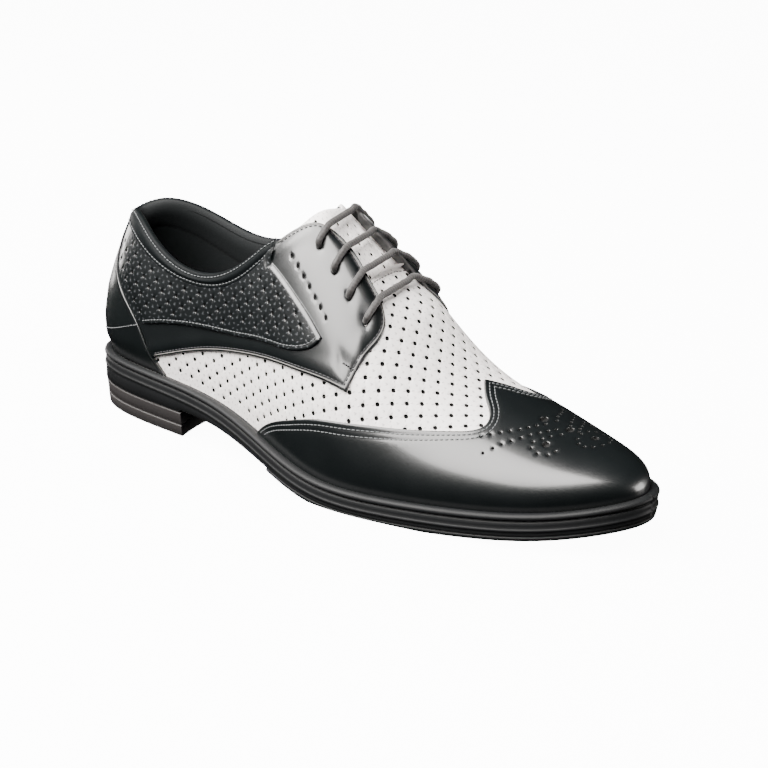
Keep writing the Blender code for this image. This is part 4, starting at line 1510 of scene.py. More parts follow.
@dataclass
class ToeCap:
    """The black wingtip, with its wings, two rows of stitches and the medallion."""

    seams: tuple[float, float] = (1.7 * MM, 3.6 * MM)
    small: float = 0.62 * MM
    large: float = 1.6 * MM
    medallion: Pairs = (
        (0.7845, 0.646), (0.7936, 0.689), (0.8033, 0.733), (0.8120, 0.777), (0.8200, 0.826),
        (0.8264, 0.875), (0.8320, 0.922), (0.8375, 0.975), (0.8153, 0.655), (0.8232, 0.709),
        (0.8310, 0.768), (0.8370, 0.826), (0.8440, 0.880), (0.8495, 0.935), (0.8545, 0.982),
        (0.8001, 0.534), (0.8085, 0.599), (0.8542, 0.845), (0.8590, 0.900), (0.8659, 0.965),
        (0.8480, 0.783), (0.8521, 0.726), (0.8646, 0.700), (0.8777, 0.725), (0.8821, 0.790))
    beyond: Pairs = (
        (0.8410, 0.945), (0.8346, 0.905), (0.8310, 0.866), (0.8280, 0.827), (0.8214, 0.780),
        (0.8600, 0.915), (0.8536, 0.873), (0.8490, 0.830), (0.8440, 0.785), (0.8380, 0.740),
        (0.8760, 0.920), (0.8716, 0.882), (0.8670, 0.835), (0.8627, 0.786), (0.8580, 0.740))
    big: tuple[tuple[float, float, Side], ...] = (
        (0.8643, 0.815, Side.OUTER), (0.8286, 0.995, Side.INNER), (0.8660, 0.950, Side.INNER),
        (0.8680, 0.680, Side.INNER), (0.9000, 0.880, Side.INNER))
    folded: float = 0.72
    fold_shift: float = 0.006
    loop_size: tuple[float, float] = (6.0 * MM, 7.0 * MM)
    loop_count: int = 12

    def build(self, shop: Workshop) -> None:
        """Cut, punch, stitch and last the cap.

        Args:
            shop: The last and the finishes.
        """
        last = shop.last
        outer = laid(last, Chart.OVER, WING_EDGE, Side.OUTER, 120)
        inner = laid(last, Chart.OVER, WING_EDGE, Side.INNER, 120)[::-1]
        start = WING_EDGE[0][0]
        arcs = [(outer, Edge.CUT), (inner, Edge.CUT),
                (foot_line(last, Chart.OVER, start, 1.0, Side.INNER), Edge.FOOT),
                (foot_line(last, Chart.OVER, 1.0, start, Side.OUTER), Edge.FOOT)]
        dots = [(share, climb, Side.OUTER) for share, climb in self.medallion]
        dots += [(share + self.fold_shift, climb, Side.INNER) for share, climb in self.medallion
                 if climb < self.folded]
        dots += [(share, climb, Side.INNER) for share, climb in self.beyond]
        holes = [Hole(tuple(last.flat(Chart.OVER, np.array(share), np.array(climb), side.value)), radius)
                 for places, radius in ((dots, self.small), (self.big, self.large))
                 for share, climb, side in places]
        centre = np.array(holes[-1].centre)
        for step in range(self.loop_count):
            angle = 2 * math.pi * (step + 0.5) / self.loop_count
            spot = centre + np.array([math.cos(angle), math.sin(angle)]) * np.array(self.loop_size)
            holes.append(Hole(tuple(spot), self.small))
        cut = Cut(last, Chart.OVER, arcs, 0.0, -1.5 * MM, holes, seams=self.seams)
        shop.settle(cut.build("toe_cap_leather", [shop.black, shop.pit]), "black_leather", "toe_cap")
        shop.sew("toe_cap_stitches", cut.stitch_rows(), shop.thread)


@dataclass
class Quarter:
    """One black facing with its tab, its eyelets and its line of perforations."""

    side: Side
    perforations: Pairs = (
        (0.4440, 0.6118), (0.4604, 0.5973), (0.4763, 0.5841), (0.4919, 0.5715), (0.5069, 0.5600),
        (0.5208, 0.5493), (0.5344, 0.5394))
    tack: Pairs = ((0.5786, 0.4723), (0.5985, 0.4900))
    edge: Pairs = (
        (0.595, 0.395), (0.600, 0.477), (0.608, 0.605), (0.612, 0.690), (0.606, 0.757), (0.594, 0.788),
        (0.567, 0.806), (0.533, 0.822), (0.499, 0.818), (0.470, 0.793), (0.441, 0.722), (0.407, 0.620))
    inner_lift: float = 0.105
    eyelet_radius: float = 1.55 * MM
    dot_radius: float = 0.85 * MM
    pale_line_radius: float = 0.19 * MM
    eyelet_draw: tuple[float, float] = (0.55 * MM, 3.0 * MM)
    dot_draw: tuple[float, float] = (0.04 * MM, 1.7 * MM)
    tack_draw: tuple[float, float] = (0.9 * MM, 4.0 * MM)
    front_roll: tuple[float, float, float] = (0.6 * MM, 0.5 * MM, 7.0 * MM)
    bead: tuple[float, float, float] = (0.25 * MM, 4.5 * MM, 2.2 * MM)

    def build(self, shop: Workshop) -> None:
        """Cut, punch and stitch the facing.

        Args:
            shop: The last and the finishes.
        """
        last, side = shop.last, self.side

        def at(share: float, climb: float) -> Array:
            """Return the flat place of a share and a climb on this side."""
            return last.flat(Chart.OVER, np.array(share), np.array(climb), side.value)

        lift = self.inner_lift if side is Side.INNER else 0.0
        edge = [(share, climb + lift * float(bell(share - 0.53, 0.06))) for share, climb in self.edge]
        front = laid(last, Chart.OVER, edge, side, 160)
        shares = np.linspace(COLLAR_FRONT, 0.10, 40)
        climbs = last.opening_climb(shares, side) - 0.6 * last.band(shares)
        under = last.flat(Chart.OVER, shares, climbs, side.value)
        foot = laid(last, Chart.OVER, QUARTER_FOOT, side)
        arcs = [(foot, Edge.CUT), (front, Edge.CUT), (np.array([front[-1], under[0]]), Edge.HIDDEN),
                (under, Edge.HIDDEN), (np.array([under[-1], at(0.125, 0.06), foot[0]]), Edge.HIDDEN)]
        eyes = [Hole(tuple(at(*spot)), self.eyelet_radius, 2.2 * MM) for spot in EYELETS]
        dots = [Hole(tuple(at(*spot)), self.dot_radius) for spot in self.perforations]
        tack = np.array([at(*spot) for spot in self.tack])
        brow = np.array([at(*spot) for spot in edge[2:9]])

        def relief(flat: Array, gap: Array) -> Array:
            """Draw the leather in round the eyelets, the perforations and the bar of stitches."""
            rise = np.zeros(len(flat))
            for holes, (deep, wide) in ((eyes, self.eyelet_draw), (dots, self.dot_draw)):
                for hole in holes:
                    away = np.linalg.norm(flat - np.array(hole.centre), axis=1)
                    rise -= deep * bell(away, wide)
            deep, wide = self.tack_draw
            rise -= deep * bell(line_distance(flat, tack[:1], tack[1:]), wide)
            deep, near, far = self.front_roll
            rise -= deep * (1 - smooth_step(near, far, line_distance(flat, brow[:-1], brow[1:])))
            rise -= throat_dip(last, flat)
            high, middle, wide = self.bead
            return rise + high * bell(gap - middle, wide)

        cut = Cut(last, Chart.OVER, arcs, 0.0, -1.5 * MM, eyes + dots, seams=(1.75 * MM,), relief=relief,
                  edge_round=0.4 * MM, hole_sides=14)
        name = f"quarter_{side.name.lower()}"
        shop.settle(cut.build(f"{name}_leather", [shop.black, shop.pit]), "black_leather", name)
        shop.sew(f"{name}_stitches", cut.stitch_rows(), shop.dark_thread)
        self._edge(shop, cut, name)
        self._tack(shop, cut, tack, name)

    def _edge(self, shop: Workshop, cut: Cut, name: str) -> None:
        """Lay a thin pale tube along the facing's edge, just inside it."""
        line = cut.ring(0.95 * MM)
        breaks = np.nonzero(np.linalg.norm(np.diff(line, axis=0), axis=1) > 5 * MM)[0] + 1
        parts = []
        for stretch in np.split(line, breaks):
            if len(stretch) > 3:
                path = cut.on_last(stretch, cut.height(stretch) + 0.02 * MM)
                parts.append(tube(path, np.full(len(path), self.pale_line_radius), 6))
        shop.settle(add_mesh(f"{name}_piping", *joined(parts), [shop.pale_edge]), "white_leather")

    def _tack(self, shop: Workshop, cut: Cut, ends: Array, name: str) -> None:
        """Sew the short bar of close stitches across the tab's corner."""
        line = even_line(ends, 0.5 * MM)
        turn, climb, side = shop.last.place(Chart.OVER, line)
        row = (cut.on_last(line, cut.height(line) + 0.15 * MM), shop.last.outward(turn, climb, side))
        shop.sew(f"{name}_tack", [row], shop.dark_thread, Stitches(1.2 * MM, 1.15 * MM, 0.42 * MM, 6))


@dataclass
class SidePanel:
    """One embossed and perforated panel, with the thick rounded flap at its front."""

    side: Side
    steps: Pairs = ((4.16, -4.46), (5.10, 3.90))
    origin: tuple[float, float] = (121.3, -33.35)
    hole_radius: float = 0.80 * MM
    flap_margin: float = 3.2 * MM
    foot_margin: float = 4.2 * MM
    seam_margin: float = 1.8 * MM
    collar_margin: float = 0.012
    back_line: Pairs = ((0.008, 0.66), (0.020, 0.42), (0.055, 0.30), (0.105, 0.185))
    puff: tuple[float, float, float] = (0.25 * MM, 3.0 * MM, 13.0 * MM)
    lip: tuple[float, float] = (1.0 * MM, 2.4 * MM)
    sunk: tuple[float, float, float] = (0.75 * MM, 0.5 * MM, 7.0 * MM)

    def build(self, shop: Workshop) -> None:
        """Cut, emboss, punch and stitch the panel.

        Args:
            shop: The last and the finishes.
        """
        last, side = shop.last, self.side
        foot = laid(last, Chart.OVER, PANEL_FOOT, side)
        flap = laid(last, Chart.OVER, PANEL_FLAP, side)
        shares = np.concatenate([np.linspace(0.409, 0.05, 60), [0.02, 0.008]])
        climbs = last.opening_climb(shares, side) - 0.62 * last.band(shares)
        under = last.flat(Chart.OVER, shares, climbs, side.value)
        back = laid(last, Chart.OVER, self.back_line, side)
        back[0] = under[-1]
        arcs = [(foot, Edge.CUT), (flap, Edge.PLAIN), (np.array([flap[-1], under[0]]), Edge.HIDDEN),
                (under, Edge.HIDDEN), (back, Edge.HIDDEN), (np.array([back[-1], foot[0]]), Edge.HIDDEN)]
        seam = laid(last, Chart.OVER, COUNTER_EDGE, side)
        cut = Cut(last, Chart.OVER, arcs, 1.1 * MM, -0.1 * MM, spacing=1.5 * MM, seams=(1.5 * MM,),
                  edge_round=0.5 * MM)
        pattern = FlatPattern(last, cut.loop, 0.0, 0.60)
        steps, origin = np.array(self.steps), np.array(self.origin)
        if side is Side.INNER:
            steps, origin = steps * np.array([1, -1]), origin * np.array([1, -1])
        undo = np.linalg.inv(steps)
        cut.pattern = lambda flat: (pattern.of(flat) / MM - origin) @ undo
        net = pattern.back(lattice(60, steps, origin) * MM)
        net = net[inside(net, cut.loop)]
        foot_gap = line_distance(net, foot[:-1], foot[1:])
        flap_gap = line_distance(net, flap[:-1], flap[1:])
        seam_gap = line_distance(net, seam[:-1], seam[1:])
        turn, climb, _ = last.place(Chart.OVER, net)
        free = last.opening_climb(last.share_of(turn), side) - last.band(last.share_of(turn)) - climb
        counter = np.array(COUNTER_EDGE)
        ahead = last.share_of(turn) > np.interp(climb, counter[:, 1], counter[:, 0])
        net = net[(foot_gap > self.foot_margin) & (flap_gap > self.flap_margin)
                  & (free > self.collar_margin) & (seam_gap > self.seam_margin) & ahead]
        cut.holes = pattern.punch(net, self.hole_radius, 0.9 * MM)

        def relief(flat: Array, _gap: Array) -> Array:
            """Puff the flap, round its edge and sink the panel under the counter."""
            to_flap = line_distance(flat, flap[:-1], flap[1:])
            to_seam = line_distance(flat, seam[:-1], seam[1:])
            high, near, far = self.puff
            rise = high * (1 - smooth_step(near, far, to_flap))
            deep, wide = self.lip
            rise -= deep * (1 - np.minimum(to_flap / wide, 1)) ** 2
            turn, climb, _ = last.place(Chart.OVER, flat)
            share = last.share_of(turn)
            behind = share < np.interp(climb, counter[:, 1], counter[:, 0])
            deep, near, far = self.sunk
            under_counter = np.where(behind, 1.0, 1 - smooth_step(near, far, to_seam))
            return rise - deep * (under_counter * (share < 0.25))

        cut.relief = relief
        name = f"side_panel_{side.name.lower()}"
        shop.settle(cut.build(f"{name}_leather", [shop.embossed, shop.pit]), "black_leather", name)
        shop.sew(f"{name}_stitches", cut.stitch_rows(), shop.thread)


@dataclass
class HeelCounter:
    """The black panel round the back of the heel."""

    raised: float = 0.9 * MM
    foot: tuple[float, float] = (0.02, 0.12)
    bead: tuple[float, float, float] = (0.30 * MM, 0.9 * MM, 0.7 * MM)
    stitch_line: Pairs = ((0.134, 0.204), (0.10, 0.178), (0.06, 0.150), (0.022, 0.128))

    def build(self, shop: Workshop) -> None:
        """Cut and stitch the counter.

        Args:
            shop: The last and the finishes.
        """
        last = shop.last
        outer = laid(last, Chart.ROUND, COUNTER_EDGE, Side.OUTER)
        inner = laid(last, Chart.ROUND, COUNTER_EDGE, Side.INNER)[::-1]
        end = COUNTER_EDGE[0][0]
        arcs = [(outer, Edge.CUT), (np.array([outer[-1], inner[0]]), Edge.HIDDEN), (inner, Edge.CUT),
                (foot_line(last, Chart.ROUND, end, 0.0, Side.INNER), Edge.FOOT),
                (foot_line(last, Chart.ROUND, 0.0, end, Side.OUTER), Edge.FOOT)]

        def relief(flat: Array, gap: Array) -> Array:
            """Lift the counter over the panels, and thin it to its foot."""
            _, climb, _ = last.place(Chart.ROUND, flat)
            high, middle, wide = self.bead
            return self.raised * smooth_step(*self.foot, climb) + high * bell(gap - middle, wide)

        cut = Cut(last, Chart.ROUND, arcs, 0.0, -1.5 * MM, seams=(), relief=relief,
                  edge_round=0.3 * MM)
        cut.pattern = lambda flat: flat / (6.0 * MM)
        piece = cut.build("heel_counter_leather", [shop.black, shop.pit])
        shop.settle(piece, "black_leather", "heel_counter")
        rows = []
        for side in Side:
            line = laid(last, Chart.ROUND, self.stitch_line, side)
            turn, climb, sides = last.place(Chart.ROUND, line)
            rows.append((cut.on_last(line, cut.height(line) + 0.05 * MM),
                         last.outward(turn, climb, sides)))
        shop.sew("heel_counter_stitches", rows, shop.thread)


@dataclass
class Collar:
    """The padded band round the opening, rolled over its edge and down inside."""

    stations: int = 221
    profile_points: int = 46
    rounding: float = 13.0 * MM
    passes: int = 160
    fade_run: float = 5.0 * MM
    lined_from: float = -0.9 * MM
    swells: tuple[tuple[float, float, float], ...] = ((2.6, 18.0, 17.0), (-1.8, -3.0, 9.0))
    seams: tuple[tuple[float, float, float], ...] = ((-1.0, 1.2, 1.2), (0.0, -1.25, 1.55))
    profile: tuple[tuple[float, float, float], ...] = (
        (-1, -0.1, -0.6), (-1, -0.2, 0.4), (-1, 0.1, 1.15), (-1, 0.6, 1.4), (-1, 1.2, 1.1),
        (-1, 1.9, 1.5), (-0.5, -0.3, 2.1), (0, -2.0, 1.8), (0, -1.3, 1.45), (0, -0.7, 1.5),
        (0, -0.1, 1.25), (0, 0.3, 0.6), (0, 0.45, -0.3), (0, 0.3, -1.3), (0, -0.3, -2.2),
        (0, -1.6, -3.2), (0, -4.5, -4.3), (0, -9.0, -4.3), (0, -13.0, -3.7), (0, -14.5, -3.2))

    def build(self, shop: Workshop) -> None:
        """Sweep the padded roll along the opening and stitch it.

        Args:
            shop: The last and the finishes.
        """
        last = shop.last
        end = float(np.interp(last.turn_of(COLLAR_FRONT), last.turns, last.run))
        run = np.linspace(-end, end, self.stations)
        side = np.where(run < 0, -1, 1)
        turn = np.interp(abs(run), last.run, last.turns)
        share = last.share_of(turn)
        top = np.where(side < 0, last.opening_climb(share, Side.OUTER),
                       last.opening_climb(share, Side.INNER))
        swell = sum(high * MM * bell(run - at * MM, wide * MM) for high, at, wide in self.swells)
        girth = last.girth(turn, side)
        width = last.band(share) * girth
        top = top + swell / girth
        fade = smooth_step(0.0, self.fade_run, end - abs(run))
        knots = np.array(self.profile)

        def ring(shares_of_band: Array, above: Array, out: Array) -> Array:
            """Return the points of profile knots at every station."""
            climb = top[:, None] + (shares_of_band * width[:, None] + above * MM) / girth[:, None]
            height = (out * MM) * (0.45 + 0.55 * fade[:, None]) * np.where(out > 0, 1, fade[:, None])
            return last.skin(turn[:, None] + 0 * climb, climb, side[:, None] + 0 * climb, height)

        rough = ring(knots[None, :, 0], knots[None, :, 1], knots[None, :, 2])
        for _ in range(self.passes):
            near = bell(run, self.rounding)[1:-1, None, None] * 0.5
            rough[1:-1] += near * ((rough[:-2] + rough[2:]) / 2 - rough[1:-1])
        net = np.stack([smooth_line(np.column_stack([section, knots[:, 2] * MM]), self.profile_points)
                        for section in rough])
        faces = grid_faces(self.stations, self.profile_points)
        out = net[..., 3].reshape(-1)
        net = net[..., :3]
        faces += [tuple(range(self.profile_points))[::-1],
                  tuple(range(self.profile_points * (self.stations - 1),
                              self.profile_points * self.stations))]
        kinds = [int(out[list(face)].mean() < self.lined_from) for face in faces]
        around = np.arange(self.profile_points) * MM
        cut = np.stack(np.meshgrid(run, around, indexing="ij"), -1).reshape(-1, 2)
        piece = add_mesh("collar_leather", net.reshape(-1, 3), faces, [shop.soft, shop.lining], kinds,
                         cut / MM)
        shop.settle(piece, "black_leather", "collar")
        rows = []
        for band_share, above, out in self.seams:
            path = ring(np.array([[band_share]]), np.array([[above]]), np.array([[out]]))[:, 0]
            climb = top + (band_share * width + above * MM) / girth
            rows.append((path, last.outward(turn, climb, side)))
        shop.sew("collar_stitches", rows, shop.thread)


@dataclass
class Lace:
    """One waxed lace in four straight bars over the throat, with its runs under the facings."""

    radius: float = 1.5 * MM
    hidden_radius: float = 0.95 * MM
    rest: float = 1.9 * MM
    drop: float = 3.7 * MM
    pressed: float = 0.9 * MM
    under: float = -2.55 * MM
    aside: float = 0.013
    sides: int = 16
    spacing: float = 0.42
    lowered: Pairs = ((-0.66, -0.45), (0.02, 0.24))
    far_edge: Pairs = ((0.34, 0.55), (0.80, 0.95))

    def _bar(self, number: int, first: int) -> list[tuple[float, ...]]:
        """Return the places of one bar.

        Args:
            number: Which pair of eyelets it joins.
            first: The side where it starts, 1 for the outer one.

        Returns:
            For each place its share, signed reach from the ridge, height, radius, bar and
            part of the way across.
        """
        share, climb = EYELETS[number]
        places = []
        spread = np.concatenate([[-1.0, -0.995, -0.965], np.linspace(-0.9, 0.9, 19),
                                 [0.965, 0.995, 1.0]])
        for value in spread:
            size, aside = abs(value), -first * value
            starts, ends = self.lowered
            drop = smooth_step(*starts, aside) * (1 - smooth_step(*ends, aside))
            height = self.rest - float(dip_at(share, 1 - size * (1 - climb)) + self.drop * drop)
            starts, ends = self.far_edge
            height -= self.pressed * float(smooth_step(*starts, aside)
                                           * (1 - smooth_step(*ends, aside)))
            if size > 0.96:
                height = {0.965: 1.35 * MM, 0.995: -0.1 * MM, 1.0: -1.6 * MM}[round(size, 3)]
            places.append((share, aside * (1 - climb), height, self.radius if size < 0.99 else 1.3 * MM,
                           number + 1, aside))
        return places

    def _straighten(self, path: Array, aside: Array) -> Array:
        """Draw a bar taut: straight between the facings' edges, and no lower than the tongue."""
        first, end = np.nonzero((aside > -0.68) & (aside < 0.36))[0][[0, -1]]
        start, stop = path[first, :3], path[end, :3]
        part = np.linalg.norm(path[first:end + 1, :3] - start, axis=1)
        part = (part / (part + np.linalg.norm(path[first:end + 1, :3] - stop, axis=1)))[:, None]
        taut = start + (stop - start) * part
        taut[:, 2] = np.maximum(taut[:, 2], path[first:end + 1, 2])
        path[first:end + 1, :3] = taut
        return path

    def _hidden(self, start: int, end: int, side: int, aside: float) -> list[tuple[float, ...]]:
        """Return the places of a run under a facing, in the same columns as a bar's.

        Args:
            start: The eyelet where it starts.
            end: The eyelet where it ends.
            side: The side, -1 or 1.
            aside: How far it bows away from the throat.

        Returns:
            The places; their bar is 0.
        """
        places = []
        for part in np.linspace(0.12, 0.88, 9):
            at = start + (end - start) * part
            share, climb = (np.interp(at, range(4), column) for column in zip(*EYELETS))
            away = 1 - climb + aside * math.sin(math.pi * part) ** 0.5
            places.append((share, side * away, self.under, self.hidden_radius, 0, 1.0))
        return places

    def build(self, shop: Workshop) -> None:
        """Thread the lace through the eyelets, with both ends stopping under the top outer ones.

        Args:
            shop: The last and the finishes.
        """
        last = shop.last
        gap = self.aside
        places = self._hidden(0, 1, -1, gap)
        places += self._bar(1, 1) + self._hidden(1, 3, 1, gap) + self._bar(3, -1)
        places += self._hidden(3, 2, -1, 0.0) + self._bar(2, 1) + self._hidden(2, 0, 1, -gap)
        places += self._bar(0, -1)
        data = np.array(places)
        turn = last.turn_of(data[:, 0])
        side = np.where(data[:, 1] < 0, -1, 1)
        centre = last.skin(turn, 1 - abs(data[:, 1]), side, data[:, 2])
        bars = data[:, 4].astype(int)
        for number in range(1, 5):
            mine = np.nonzero(bars == number)[0]
            centre[mine] = self._straighten(centre[mine], data[mine, 5])
        path = smooth_line(np.column_stack([centre, data[:, 3]]), 1500)
        path = even_line(path, self.spacing * MM)
        step = np.arange(len(path))[:, None]
        angle = np.linspace(0, 2 * math.pi, self.sides, endpoint=False)[None, :]
        twist = 1 + 0.035 * np.cos(3 * angle + 0.52 * step) + 0.02 * np.cos(5 * angle - 0.6 * step)
        radius = np.clip(path[:, 3:4], 0.9 * MM, self.radius) * twist
        points, faces = tube(path[:, :3], radius, self.sides)
        around = np.tile(np.arange(self.sides) / self.sides * 2 * math.pi, len(path))
        along = np.repeat(np.arange(len(path)) * self.spacing, self.sides) * 2.0
        piece = add_mesh("lace", points, faces, [shop.cord], None, np.column_stack([around, along]))
        shop.settle(piece, "lace_cord", "lace_bar_1", "lace_bar_2", "lace_bar_3", "lace_bar_4")


@dataclass
class Sole:
    """The rim, the sole, its tread and the heel's two lower bands."""

    reach: float = 3.8 * MM
    body: float = 9.2 * MM
    tread: float = 2.1 * MM
    tread_start: float = 0.455
    heel_length: float = 0.0695
    heel_line: float = 12.5 * MM
    top_piece: float = 5.7 * MM
    breast_curve: float = 5.0 * MM
    groove: tuple[float, float] = (0.15 * MM, 0.25 * MM)
    seat_groove: float = 0.45 * MM
    rib_height: float = 0.6 * MM
    ribbed: tuple[float, float] = (0.47, 0.96)
    stations: int = 240
    waist: Pairs = (
        (0.22, 2.7), (0.32, 1.4), (0.44, 0.5), (0.56, 0.0), (1.0, 0.0))
    rim: Pairs = (
        (-2.6, -2.0), (-2.6, -0.5), (-0.4, -0.45), (0.3, 0.0), (0.9, 0.33), (1.7, 0.5), (2.7, 0.5),
        (3.5, 0.3), (4.05, -0.15), (4.3, -0.8), (4.25, -1.4), (3.9, -1.85), (3.2, -2.0))
    side: Pairs = (
        (2.9, 2.0), (2.9, 2.5), (3.5, 2.75), (3.8, 3.1), (3.85, 4.4), (3.8, 5.6), (4.0, 5.85),
        (4.2, 6.15), (4.25, 6.5), (4.15, 6.85), (3.9, 7.1), (3.75, 7.5), (3.8, 8.2))

    def _underside(self, last: Last, share: Array) -> Array:
        """Return the height of the sole body's underside."""
        shares, extra = np.array(self.waist).T
        front = last.feather_height(share) - self.body - np.interp(share, shares, extra) * MM
        return np.where(share < self.heel_length / last.length, self.heel_line, front)

    def _sweep(self, last: Last, levels: Sequence[tuple[float, Callable[[Array], Array]]],
               first: float = 0.0) -> Mesh:
        """Sweep a section along both sides of the feather line.

        Args:
            last: The last.
            levels: The section: a reach in millimetres and a function from share to height.
            first: The share of the length where it starts.

        Returns:
            The points, one loop after another, and the faces between loops.
        """
        turn = np.linspace(last.turn_of(first), 1, self.stations)
        share = last.share_of(turn)
        points = []
        for reach, height in levels:
            outer, inner = (last.feather(turn, side, reach * MM) for side in (-1, 1))
            outer[:, 2] = inner[:, 2] = height(share)
            points.append(np.concatenate([outer, inner[::-1]]))
        faces = [loop[::-1] for loop in grid_faces(len(levels), 2 * self.stations, ring=True)]
        return np.concatenate(points), faces

    def _caps(self, level: int, flip: bool) -> list[tuple[int, ...]]:
        """Return the faces that close a loop from side to side."""
        wide, base = 2 * self.stations, 2 * self.stations * level
        loops = [(base + step, base + step + 1, base + wide - 2 - step, base + wide - 1 - step)
                 for step in range(self.stations - 1)]
        return [loop[::-1] for loop in loops] if flip else loops

    def build(self, shop: Workshop) -> None:
        """Make the rim, the sole and the tread.

        Args:
            shop: The last and the finishes.
        """
        last = shop.last
        rim = [(reach, lambda share, high=high: last.feather_height(share) + high * MM)
               for reach, high in self.rim]
        points, faces = self._sweep(last, rim)
        piece = add_mesh("welt_rim", points, [loop[::-1] for loop in faces], [shop.rubber])
        shop.settle(piece, "black_rubber", "welt")
        levels = [(reach, lambda share, deep=deep: last.feather_height(share) - deep * MM)
                  for reach, deep in self.side]
        floor = self._underside
        levels += [(3.8, lambda share: floor(last, share) + 0.5 * MM),
                   (3.3, lambda share: floor(last, share))]
        points, faces = self._sweep(last, levels)
        faces += self._caps(0, True) + self._caps(len(levels) - 1, False)
        shop.settle(add_mesh("sole_body", points, faces, [shop.rubber]), "black_rubber", "outsole")
        self._tread(shop)
        edge = self.reach / MM - 0.3
        middle = edge - (1 - self.top_piece / self.heel_line)
        self._heel_piece(shop, "heel_top_piece_rubber", "heel_top_piece", 0.0,
                         self.top_piece - self.groove[0], edge - 1.0, middle)
        self._heel_piece(shop, "heel_lift_rubber", "heel_lift", self.top_piece + self.groove[1],
                         self.heel_line - self.seat_groove, middle, edge)

    def _tread(self, shop: Workshop) -> None:
        """Make the thin layer under the forepart, ribbed underneath."""
        last = shop.last
        edge = self.reach / MM
        turn = np.linspace(last.turn_of(self.tread_start), 1, self.stations)
        share = last.share_of(turn)
        ceiling = self._underside(last, share) - 0.25 * MM
        bottom = np.maximum(last.feather_height(share) - self.body - self.tread, 0.0)
        gap = np.arange(self.stations)
        rib = np.where((gap % 8) < 2, self.rib_height, 0.0) * ((share > self.ribbed[0])
                                                               & (share < self.ribbed[1]))
        across = np.concatenate([[-1.0, -0.985], np.linspace(-0.93, 0.93, 15), [0.985, 1.0]])
        rows = []
        for height, inset in ((ceiling, 0.3), (0.5 * ceiling + 0.5 * bottom, 0.3), (bottom, 0.6)):
            outer, inner = (last.feather(turn, side, (edge - inset) * MM) for side in (-1, 1))
            rows.append((outer, inner, height))
        net = []
        for spread in across:
            outer, inner, height = rows[2]
            line = outer + (inner - outer) * (spread + 1) / 2
            line[:, 2] = height + rib * (abs(spread) < 0.94)
            net.append(line)
        for outer, inner, height in (rows[1], rows[0]):
            outer[:, 2], inner[:, 2] = height, height
            net.insert(0, outer)
            net.append(inner)
        grid = np.stack(net, 1)
        points = grid.reshape(-1, 3)
        wide = grid.shape[1]
        faces = grid_faces(self.stations, wide, ring=True)
        faces.append(tuple(range(wide))[::-1])
        piece = add_mesh("tread_layer", points, faces, [shop.rubber])
        shop.settle(piece, "black_rubber", "forepart_tread")

    def _heel_piece(self, shop: Workshop, name: str, node: str, floor: float, ceiling: float, low: float,
                    high: float) -> None:
        """Make one band of the heel, with softened edges and a hollowed front.

        Args:
            shop: The last and the finishes.
            name: The piece's name.
            node: The solid it stands for.
            floor: Its lower face's height.
            ceiling: Its upper face's height.
            low: How far it reaches past the feather line at its foot, in millimetres.
            high: The same at its top.
        """
        last = shop.last
        loops = []
        soft = 0.35 * MM
        for height, reach in ((floor, low - 0.35), (floor + soft, low), (ceiling - soft, high),
                              (ceiling, high - 0.35)):
            turn = np.linspace(0, last.turn_of(self.heel_length / last.length), 60)
            outer, inner = (last.feather(turn, side, reach * MM)[:, :2] for side in (-1, 1))
            across = np.linspace(-1, 1, 17)[1:-1]
            front = [outer[-1] + (inner[-1] - outer[-1]) * (spread + 1) / 2
                     - np.array([self.breast_curve * (1 - spread**2), 0.0]) for spread in across]
            plan = np.concatenate([outer, front, inner[::-1][:-1]])
            loops.append(np.column_stack([plan, np.full(len(plan), height)]))
        wide = len(loops[0])
        faces = grid_faces(len(loops), wide, ring=True)
        faces += [tuple(range(wide))[::-1], tuple(range(wide * (len(loops) - 1), wide * len(loops)))]
        piece = add_mesh(name, np.concatenate(loops), faces, [shop.lift_rubber], smooth=False)
        piece.data.shade_smooth()
        piece.data.set_sharp_from_angle(angle=math.radians(50))
        shop.settle(piece, "black_rubber", node)


@dataclass
class Footbed:
    """The padded floor inside the shoe."""

    reach: float = -4.1
    rise: float = 1.4 * MM
    depth: float = 3.4 * MM
    stations: int = 110

    def build(self, shop: Workshop) -> None:
        """Fit the footbed.

        Args:
            shop: The last and the finishes.
        """
        last = shop.last
        turn = np.linspace(0, 1, self.stations)
        height = last.feather_height(last.share_of(turn))
        outer, inner = (last.feather(turn, side, self.reach * MM) for side in (-1, 1))
        net = []
        for spread in np.linspace(-1, 1, 21):
            line = outer + (inner - outer) * (spread + 1) / 2
            line[:, 2] = height + self.rise + 1.2 * MM * abs(spread) ** 6
            net.append(line)
        low = [outer.copy(), inner.copy()]
        for line in low:
            line[:, 2] = height + self.rise - self.depth
        grid = np.stack([low[0], *net, low[1]], 1)
        faces = [loop[::-1] for loop in grid_faces(self.stations, grid.shape[1], ring=True)]
        piece = add_mesh("footbed", grid.reshape(-1, 3), faces, [shop.board])
        shop.settle(piece, "insole_board", "insole")


# ---------------------------------------------------------------- the studio


LAMP_COLOUR = (1.0, 0.972, 0.945)


@dataclass
class Lamp:
    """One rectangular light."""

    name: str
    azimuth: float
    elevation: float
    distance: float
    size: tuple[float, float]
    power: float

    def hang(self, target: Vector) -> None:
        """Hang the light so that it faces the shoe.

        Args:
            target: What it points at.
        """
        lamp = bpy.data.lights.new(self.name, "AREA")
        lamp.shape = "RECTANGLE"
        lamp.size, lamp.size_y = self.size
        lamp.energy = self.power
        lamp.color = LAMP_COLOUR
        holder = bpy.data.objects.new(self.name, lamp)
        turn, rise = math.radians(self.azimuth), math.radians(self.elevation)
        way = Vector((math.sin(turn) * math.cos(rise), -math.cos(turn) * math.cos(rise), math.sin(rise)))
        holder.location = target + way * self.distance
        holder.rotation_euler = way.to_track_quat("Z", "Y").to_euler()
        bpy.context.scene.collection.objects.link(holder)


